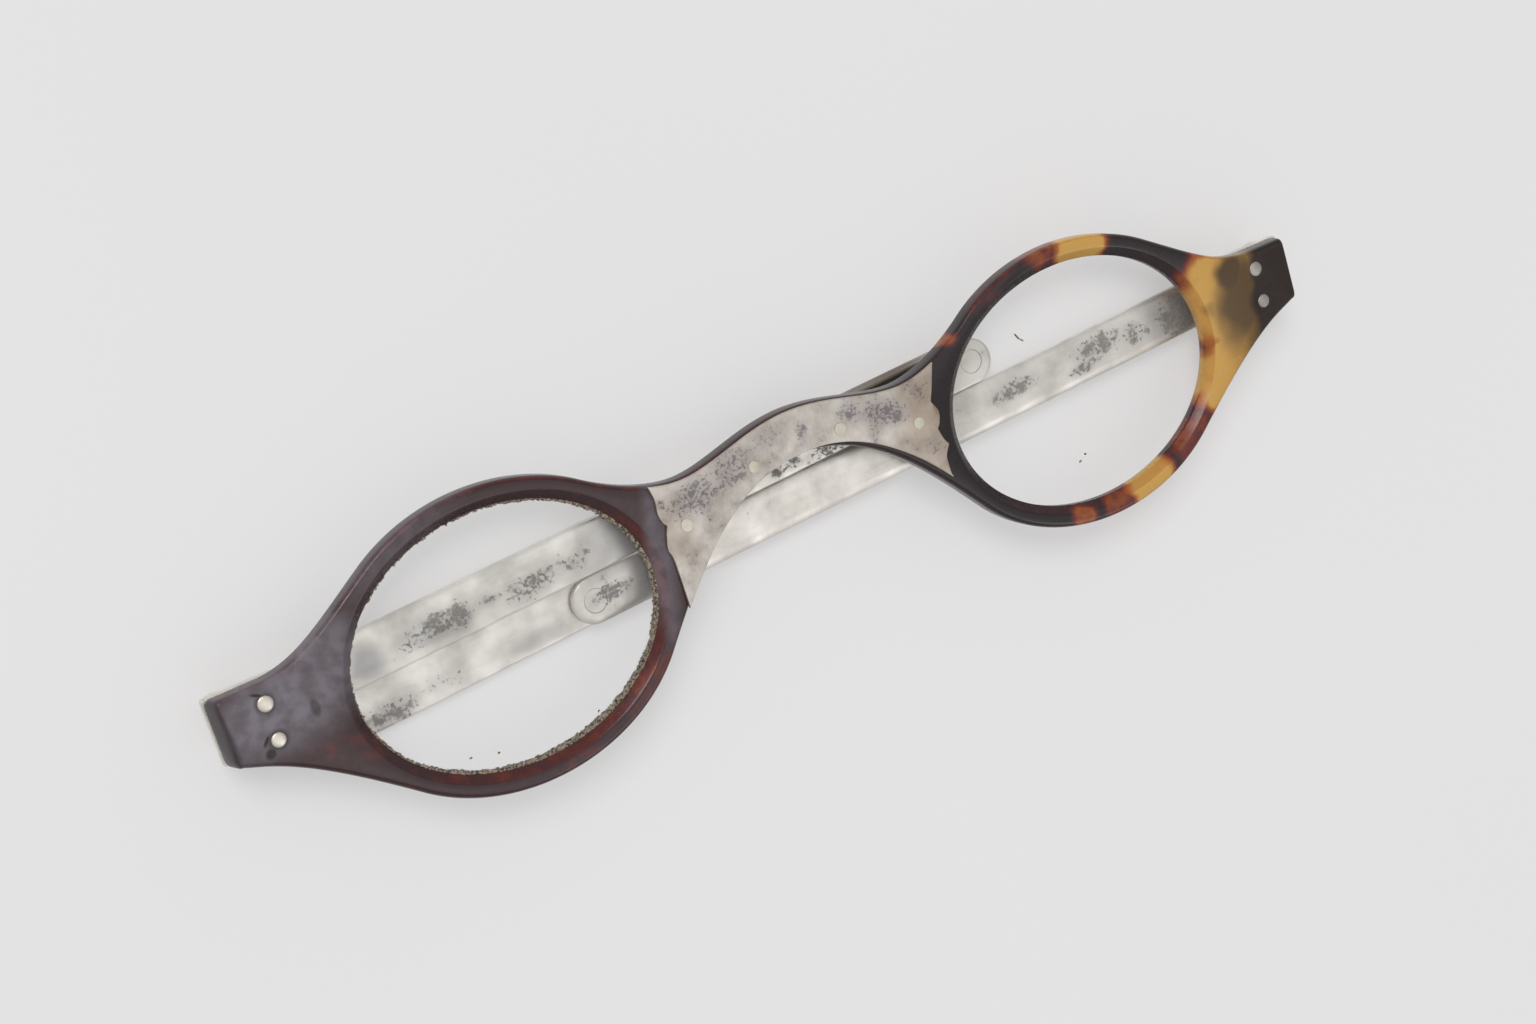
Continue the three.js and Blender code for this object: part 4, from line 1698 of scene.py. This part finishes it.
@dataclass
class BridgePlate:
    """The silver plate on the face of the bridge, with its four rivets."""

    front: ShellFront
    inset: float = 0.1
    worn: float = 0.8
    worn_end: float = 12.0
    bevel: float = 0.08
    bevel_steps: int = 4
    knot_steps: int = 6
    corner_clear: float = 0.35
    rivets: Rivets = Rivets(head=0.58, dome=0.04)
    rivet_count: int = 4

    def half(self, side: Side) -> Loop:
        """One half of the plate's outline, as it would lie on the right, clockwise from the top.

        Args:
            side: which half; the right one is worn back along its lower edge.

        Returns:
            The points.
        """
        upper = moved_aside(self.front.upper_bridge(), self.inset)
        lower = moved_aside(self.front.lower_bridge(), self.inset)
        if side is Side.RIGHT:
            shares = [min(1.0, p.x / self.worn_end) for p in lower]
            lower = [flat(p.x, p.y + self.worn * s) for p, s in zip(lower, shares)]
        cut = PLATE_ENDS[side]
        upper = [p for p in upper if p.x < cut.upper_tip]
        lower = [p for p in lower if p.x < cut.lower_tip]
        knots = [upper[-1]] + [flat(x, y) for x, y in cut.knots] + [lower[0]]
        corners = [0] + [1 + i for i in cut.corners] + [len(knots) - 1]
        edge: Loop = []
        for start, end in zip(corners, corners[1:]):
            edge += smooth_through(knots[start : end + 1], self.knot_steps)
        sharp = [knots[i] for i in corners]
        outline = upper[:-1] + edge + lower[1:]
        return [p for p in outline if p in sharp or min((p - s).length for s in sharp) > self.corner_clear]

    def build(self) -> None:
        """Makes the plate and its rivets."""
        finishes = self.front.finishes
        sketch = PieceMesh()
        outline = mirrored_outline(self.half(Side.RIGHT), self.half(Side.LEFT))
        sketch.plate([outline], [rounded_edge(*level("bridge_plate"), self.bevel, self.bevel_steps)])
        piece = sketch.finish("bridge_plate_silver", finishes.plate)
        set_piece(piece, "front", Slot.PLATE, "bridge_plate")
        nodes = [f"bridge_rivet_{i + 1}" for i in range(self.rivet_count)]
        self.rivets.build("bridge_rivets", nodes, finishes.plate_rivet)


# The hinges

# Turns a piece made along Z so that it runs along Y, with its own Y pointing up
ALONG_Y = Matrix(((1, 0, 0, 0), (0, 0, -1, 0), (0, 1, 0, 0), (0, 0, 0, 1)))


@dataclass
class LugHinge:
    """The hinge behind one lug: a leaf with two knuckles, its pin and its rivets."""

    finishes: Finishes
    side: Side
    leaf_thick: float = 0.7
    leaf_corner: float = 1.2
    outer_corner: float = 0.3
    corner_steps: int = 8
    leaf_bevel: float = 0.06
    leaf_out: float = 0.32
    leaf_up: float = 0.15
    barrel_radius: float = 1.05
    barrel_long: float = 5.2
    barrel_steps: int = 48
    web_share: float = 0.85
    knuckle_long: float = 1.7
    knuckle_gap: float = 0.1
    barrel_bevel: float = 0.12
    bevel_steps: int = 3
    pin_radius: float = 0.45
    pin_flare: float = 0.25
    pin_clear: float = 0.02
    pin_dome: tuple[tuple[float, float], ...] = ((0.0, 0.0), (0.5, 0.02), (0.85, 0.07))
    pin_sides: int = 40
    rivets: Rivets = Rivets(head=0.7, dome=0.18)

    def __post_init__(self) -> None:
        """Finds the hinge in the frame."""
        self.axis = middle(f"{self.side.label}_hinge_pin")
        self.low, self.high = box_mm(f"{self.side.label}_hinge_leaf")

    def leaf_outline(self) -> Loop:
        """Draws the leaf, whose inner corners are the rounder ones.

        Returns:
            The points, counter-clockwise.
        """
        ends = (self.high.x, self.low.x) if self.side is Side.LEFT else (self.low.x, self.high.x)
        out = self.side.value
        inner, outer = ends[0], ends[1] + out * self.leaf_out
        y0, y1 = self.low.y, self.high.y + self.leaf_up
        small, large = self.outer_corner, self.leaf_corner
        corners = [
            (flat(outer - out * small, y0), flat(outer, y0), flat(outer, y0 + small)),
            (flat(outer, y1 - small), flat(outer, y1), flat(outer - out * small, y1)),
            (flat(inner + out * large, y1), flat(inner, y1), flat(inner, y1 - large)),
            (flat(inner, y0 + large), flat(inner, y0), flat(inner + out * large, y0)),
        ]
        loop = [p for corner in corners for p in bezier(list(corner), self.corner_steps)]
        return loop if self.side is Side.RIGHT else list(reversed(loop))

    def knuckle_outline(self, reach: float) -> Loop:
        """A knuckle seen along the axis: a barrel whose web rises to the leaf.

        Args:
            reach: the height of the leaf's middle over the axis.

        Returns:
            The points, counter-clockwise, in a plane whose second axis is +Z.
        """
        radius = self.barrel_radius
        web = self.web_share * radius
        start = math.degrees(math.acos(self.web_share))
        barrel = oval_arc(0, radius, radius, 180 - start, 360 + start, self.barrel_steps)
        return barrel + [flat(web, reach), flat(-web, reach)]

    def build(self) -> None:
        """Makes the leaf, the pin and the rivets."""
        label, top = self.side.label, self.high.z
        back = top - self.leaf_thick
        sketch = PieceMesh()
        sketch.plate([self.leaf_outline()], [rounded_edge(back, top, self.leaf_bevel, self.bevel_steps)])
        inside = self.knuckle_long / 2 + self.knuckle_gap
        outside = self.barrel_long / 2
        outline = self.knuckle_outline(top - self.leaf_thick / 2 - self.axis.z)
        for start, end in ((-outside, -inside), (inside, outside)):
            section = rounded_edge(start, end, self.barrel_bevel, self.bevel_steps)
            sketch.plate([outline], [section], Matrix.Translation(self.axis) @ ALONG_Y)
        piece = sketch.finish(f"{label}_hinge_leaf_silver", self.finishes.strip)
        set_piece(piece, "front", Slot.TEMPLE, f"{label}_hinge_leaf")
        self.build_pin()
        nodes = [f"{label}_lug_rivet_{place}" for place in ("upper", "lower")]
        material = self.finishes.rivet if self.side is Side.LEFT else self.finishes.dull_rivet
        self.rivets.build(f"{label}_lug_rivets", nodes, material)

    def build_pin(self) -> None:
        """Makes the hinge pin, its two ends spread with a hammer."""
        node = f"{self.side.label}_hinge_pin"
        low, high = box_mm(node)
        half = (high.y - low.y) / 2
        neck = self.barrel_long / 2 + self.pin_clear
        head = self.pin_radius + self.pin_flare
        profile = [(share * head, -half + rise) for share, rise in self.pin_dome]
        profile += [(head, -neck), (self.pin_radius, -neck)]
        profile += [(radius, -height) for radius, height in reversed(profile)]
        sketch = PieceMesh()
        sketch.lathe(profile, self.pin_sides, Matrix.Translation(self.axis) @ ALONG_Y)
        piece = sketch.finish(f"{node}_silver", self.finishes.rivet)
        set_piece(piece, "front", Slot.RIVET, node)


# The temples

# How wide and how deep the worn edges of each strip are; those of the right one are the broader
FORE_SLOPES = {Side.LEFT: (0.26, 0.05), Side.RIGHT: (0.75, 0.16)}


@dataclass
class Temple:
    """One temple: a flat strip from the hinge to the turn pin, the pin, and the end piece on it."""

    finishes: Finishes
    side: Side
    long: float = 77.2
    root_wide: float = 4.7
    neck_wide: float = 4.3
    end_long: float = 28.5
    tip_wide: float = 4.4
    thick: float = 0.9
    end_slope: tuple[float, float] = (0.26, 0.05)
    barrel_radius: float = 1.05
    knuckle_long: float = 1.7
    knuckle_bevel: float = 0.1
    root_gap: float = 0.3
    root_corner: float = 0.5
    tongue: float = 1.5
    tongue_sunk: float = 0.03
    pin_head: float = 1.1
    pin_soft: float = 0.03
    pin_clear: float = 0.015
    side_steps: int = 40
    end_side_steps: int = 20
    corner_steps: int = 6
    bevel_steps: int = 3
    round_steps: int = 44
    tip_steps: int = 36
    hole_steps: int = 48
    pin_sides: int = 56

    def __post_init__(self) -> None:
        """Finds the hinge axis and the turn pin in the frame, and how the strip lies between them."""
        self.axis = middle(f"{self.side.label}_hinge_pin")
        self.pin = middle(f"{self.side.label}_turn_pin")
        self.lean = math.atan2(self.pin.y - self.axis.y, self.pin.x - self.axis.x)
        self.fore_slope = FORE_SLOPES[self.side]
        self.root = self.barrel_radius + self.root_gap

    def fore_outline(self) -> Loop:
        """Draws the strip along +X from the hinge axis.

        Returns:
            The points, counter-clockwise.
        """
        start, radius, half = self.root, self.neck_wide / 2, self.root_wide / 2
        eye = oval_arc(self.long, radius, radius, -90, 90, self.round_steps)
        corner = self.root_corner + self.fore_slope[0]
        lower = [flat(start, -half + corner), flat(start, -half), flat(start + corner, -half)]
        below = bezier(lower, self.corner_steps) + straight(lower[-1], eye[0], self.side_steps)
        return below + eye + mirrored(below, y=-1)

    def end_outline(self) -> Loop:
        """Draws the end piece along +X from the turn pin.

        Returns:
            The points, counter-clockwise.
        """
        radius, tip = self.neck_wide / 2, self.tip_wide / 2
        eye = oval_arc(0, radius, radius, 90, 270, self.round_steps)
        round_tip = oval_arc(self.end_long - tip, tip, tip, -90, 90, self.tip_steps)
        under = straight(eye[-1], round_tip[0], self.end_side_steps)
        return eye + under + round_tip + mirrored(under, y=-1)

    def pin_hole(self, x: float) -> Loop:
        """The hole for the turn pin's head, clockwise."""
        radius = self.pin_head + self.pin_clear
        return oval_arc(x, radius, radius, 360, 0, self.hole_steps)[:-1]

    def knuckle_outline(self) -> Loop:
        """Draws the temple's knuckle, with the tongue that joins the strip, seen along the hinge axis.

        Returns:
            The points, counter-clockwise.
        """
        radius = self.barrel_radius
        half = self.thick / 2 - self.tongue_sunk
        reach = self.root + self.tongue
        start = math.degrees(math.asin(half / radius))
        barrel = oval_arc(0, radius, radius, start, 360 - start, self.hole_steps)
        return barrel + [flat(reach, -half), flat(reach, half)]

    def build(self) -> None:
        """Makes the strip, the turn pin and the end piece."""
        label = self.side.label
        half_turn = Matrix.Rotation(0 if self.side is Side.LEFT else math.pi, 4, "Z")
        at_axis = Matrix.Translation(self.axis)
        half, knuckle = self.thick / 2, self.knuckle_long / 2
        sketch = PieceMesh()
        loops = [self.fore_outline(), self.pin_hole(self.long)]
        sections = [chamfered_edge(-half, half, *self.fore_slope), plain_edge(-half, half)]
        sketch.plate(loops, sections, at_axis @ Matrix.Rotation(self.lean, 4, "Z"))
        section = rounded_edge(-knuckle, knuckle, self.knuckle_bevel, self.bevel_steps)
        sketch.plate([self.knuckle_outline()], [section], at_axis @ half_turn @ ALONG_Y)
        piece = sketch.finish(f"{label}_temple_strip", self.finishes.strip)
        set_piece(piece, f"{label}_temple", Slot.TEMPLE, f"{label}_temple_fore")
        self.build_pin()
        self.build_end()

    def at_pin(self) -> Matrix:
        """What carries a piece to the turn pin's axis."""
        return Matrix.Translation((self.pin.x, self.pin.y, 0))

    def build_pin(self) -> None:
        """Makes the turn pin, its two heads filed flush with the strips."""
        node = f"{self.side.label}_turn_pin"
        low, high = level(node)
        head, soft = self.pin_head, self.pin_soft
        sketch = PieceMesh()
        profile = both_edges([(0, low), (head - soft, low), (head, low + soft)], low, high)
        sketch.lathe(profile, self.pin_sides, self.at_pin())
        piece = sketch.finish(f"{node}_silver", self.finishes.strip)
        set_piece(piece, f"{self.side.label}_temple", Slot.RIVET, node)

    def build_end(self) -> None:
        """Makes the end piece, turned in on the left and out on the right, as the pair was folded."""
        node = f"{self.side.label}_temple_end"
        bottom = level(node)[0]
        top = bottom + self.thick
        far = middle(node)
        lean = math.atan2(far.y - self.pin.y, far.x - self.pin.x)
        sketch = PieceMesh()
        sections = [chamfered_edge(bottom, top, *self.end_slope), plain_edge(bottom, top)]
        place = self.at_pin() @ Matrix.Rotation(lean, 4, "Z")
        sketch.plate([self.end_outline(), self.pin_hole(0)], sections, place)
        piece = sketch.finish(f"{node}_strip", self.finishes.strip)
        set_piece(piece, f"{self.side.label}_end", Slot.TEMPLE, node)


# Camera, light and table


@dataclass(frozen=True)
class Glint:
    """A bright place of the room, with its edges in degrees from its middle. The lenses don't mirror it."""

    way: Place3
    core: float
    edge: float
    more: float


@dataclass
class Studio:
    """The camera at the photograph's viewing angle, soft light from the upper left and a pale table."""

    eye: Place3 = (-94.531, 64.562, 214.847)
    right: Place3 = (0.84515, -0.28743, 0.45067)
    up: Place3 = (0.37544, 0.91934, -0.11773)
    focal_px: float = 2644.33
    photo_wide_px: float = 1536
    sensor: float = 36
    nearest: float = 5
    farthest: float = 50000
    table_wide: float = 6000
    key_place: Place3 = (-1000, 2000, 2600)
    key_wide: float = 1500
    key_power: float = 52
    glints: tuple[Glint, ...] = (
        Glint((0.15, -0.28, 0.948), 2.5, 11, 0.9),
        Glint((-0.292, 0.583, 0.758), 8, 13, 6.0),
        Glint((0.39, -0.6, 0.7), 5, 15, 1.8),
    )
    lens_passes: float = 2.5
    sky: str = "#ffffff"
    sky_light: float = 0.7
    room: str = "#f4f3f3"
    overhead: Span = Span(0.86, 0.77, 0.95, 0.5)

    def build_camera(self) -> None:
        """Makes the camera."""
        data = bpy.data.cameras.new("camera")
        data.sensor_fit = "HORIZONTAL"
        data.sensor_width = self.sensor
        data.lens = self.sensor * self.focal_px / self.photo_wide_px
        data.clip_start = self.nearest * MM
        data.clip_end = self.farthest * MM
        right, up = Vector(self.right), Vector(self.up)
        turn = Matrix((right, up, right.cross(up))).transposed().to_4x4()
        camera = shown("camera", data)
        camera.matrix_world = Matrix.Translation(Vector(self.eye) * MM) @ turn
        bpy.context.scene.camera = camera

    def build_lamp(self) -> None:
        """Makes the large soft lamp, which faces the spectacles and isn't mirrored in them."""
        data = bpy.data.lights.new("key_light", "AREA")
        data.shape = "SQUARE"
        data.size = self.key_wide * MM
        data.energy = self.key_power
        place = Vector(self.key_place)
        turn = place.to_track_quat("Z", "Y").to_matrix().to_4x4()
        lamp = shown("key_light", data)
        lamp.matrix_world = Matrix.Translation(place * MM) @ turn
        lamp.visible_glossy = False
        lamp.visible_transmission = False

    def build_room(self) -> None:
        """Makes the pale room, which is brightest overhead and has a few glints for the metal."""
        world = bpy.data.worlds.new("pale_room")
        bpy.context.scene.world = world
        world.use_nodes = True
        tree = world.node_tree
        tree.nodes.clear()
        way = add_node(tree, "ShaderNodeTexCoord").outputs["Generated"]
        height = add_node(tree, "ShaderNodeSeparateXYZ", {0: way}).outputs["Z"]
        bright = self.overhead.on(tree, height)
        off_lens = self._off_lens(tree)
        for glint in self.glints:
            core, edge = (math.cos(math.radians(angle)) for angle in (glint.core, glint.edge))
            aimed = add_node(tree, VECTOR, {0: way, 1: glint.way}, operation="DOT_PRODUCT")
            window = Span(edge, core, 0.0, glint.more).on(tree, aimed)
            bright = add_node(tree, MATH, {0: window, 1: off_lens, 2: bright}, operation="MULTIPLY_ADD")
        backdrop = "ShaderNodeBackground"
        lit = add_node(tree, backdrop, {"Color": linear(self.sky), "Strength": self.sky_light})
        seen = add_node(tree, backdrop, {"Color": linear(self.room), "Strength": bright})
        mixed = add_node(tree, "ShaderNodeMixShader", {0: seen_rays(tree), 1: lit, 2: seen})
        add_node(tree, "ShaderNodeOutputWorld", {"Surface": mixed})

    def _off_lens(self, tree: NodeTree) -> Node:
        """Tells a mirror image in a lens from what shows through both of its faces.

        Args:
            tree: the room's node tree.

        Returns:
            A value that is 0 for a mirror image in a lens, and otherwise 1.
        """
        path = add_node(tree, "ShaderNodeLightPath")
        passes = {0: path.outputs["Transmission Depth"], 1: self.lens_passes}
        few = add_node(tree, MATH, passes, operation="LESS_THAN")
        in_lens = folded(tree, "MULTIPLY", [path.outputs["Is Singular Ray"], few])
        return add_node(tree, MATH, {0: 1.0, 1: in_lens}, operation="SUBTRACT")

    def build_table(self) -> None:
        """Makes the table that the folded spectacles lie on."""
        half = self.table_wide / 2 * MM
        mesh = bpy.data.meshes.new("table")
        corners = [(-half, -half, 0), (half, -half, 0), (half, half, 0), (-half, half, 0)]
        mesh.from_pydata(corners, [], [(0, 1, 2, 3)])
        mesh.materials.append(MattPaper().build())
        shown("table", mesh)


def main() -> None:
    """Builds the studio and the spectacles, piece by piece."""
    logging.basicConfig(level=logging.INFO, format="%(message)s")
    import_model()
    bpy.context.scene.view_settings.view_transform = "Standard"
    studio = Studio()
    studio.build_camera()
    studio.build_lamp()
    studio.build_room()
    studio.build_table()
    finishes = Finishes()
    front = ShellFront(finishes)
    front.build_shell()
    for side in Side:
        front.build_lens(side)
    DirtLine(front, Side.LEFT, flakes=LEFT_FLAKES).build()
    DirtLine(front, Side.RIGHT, width=0.06, spread=0.08, grains_per_mm2=14.0, flakes=RIGHT_FLAKES).build()
    BridgePlate(front).build()
    for side in Side:
        LugHinge(finishes, side).build()
        Temple(finishes, side).build()


if __name__ == "__main__":
    main()
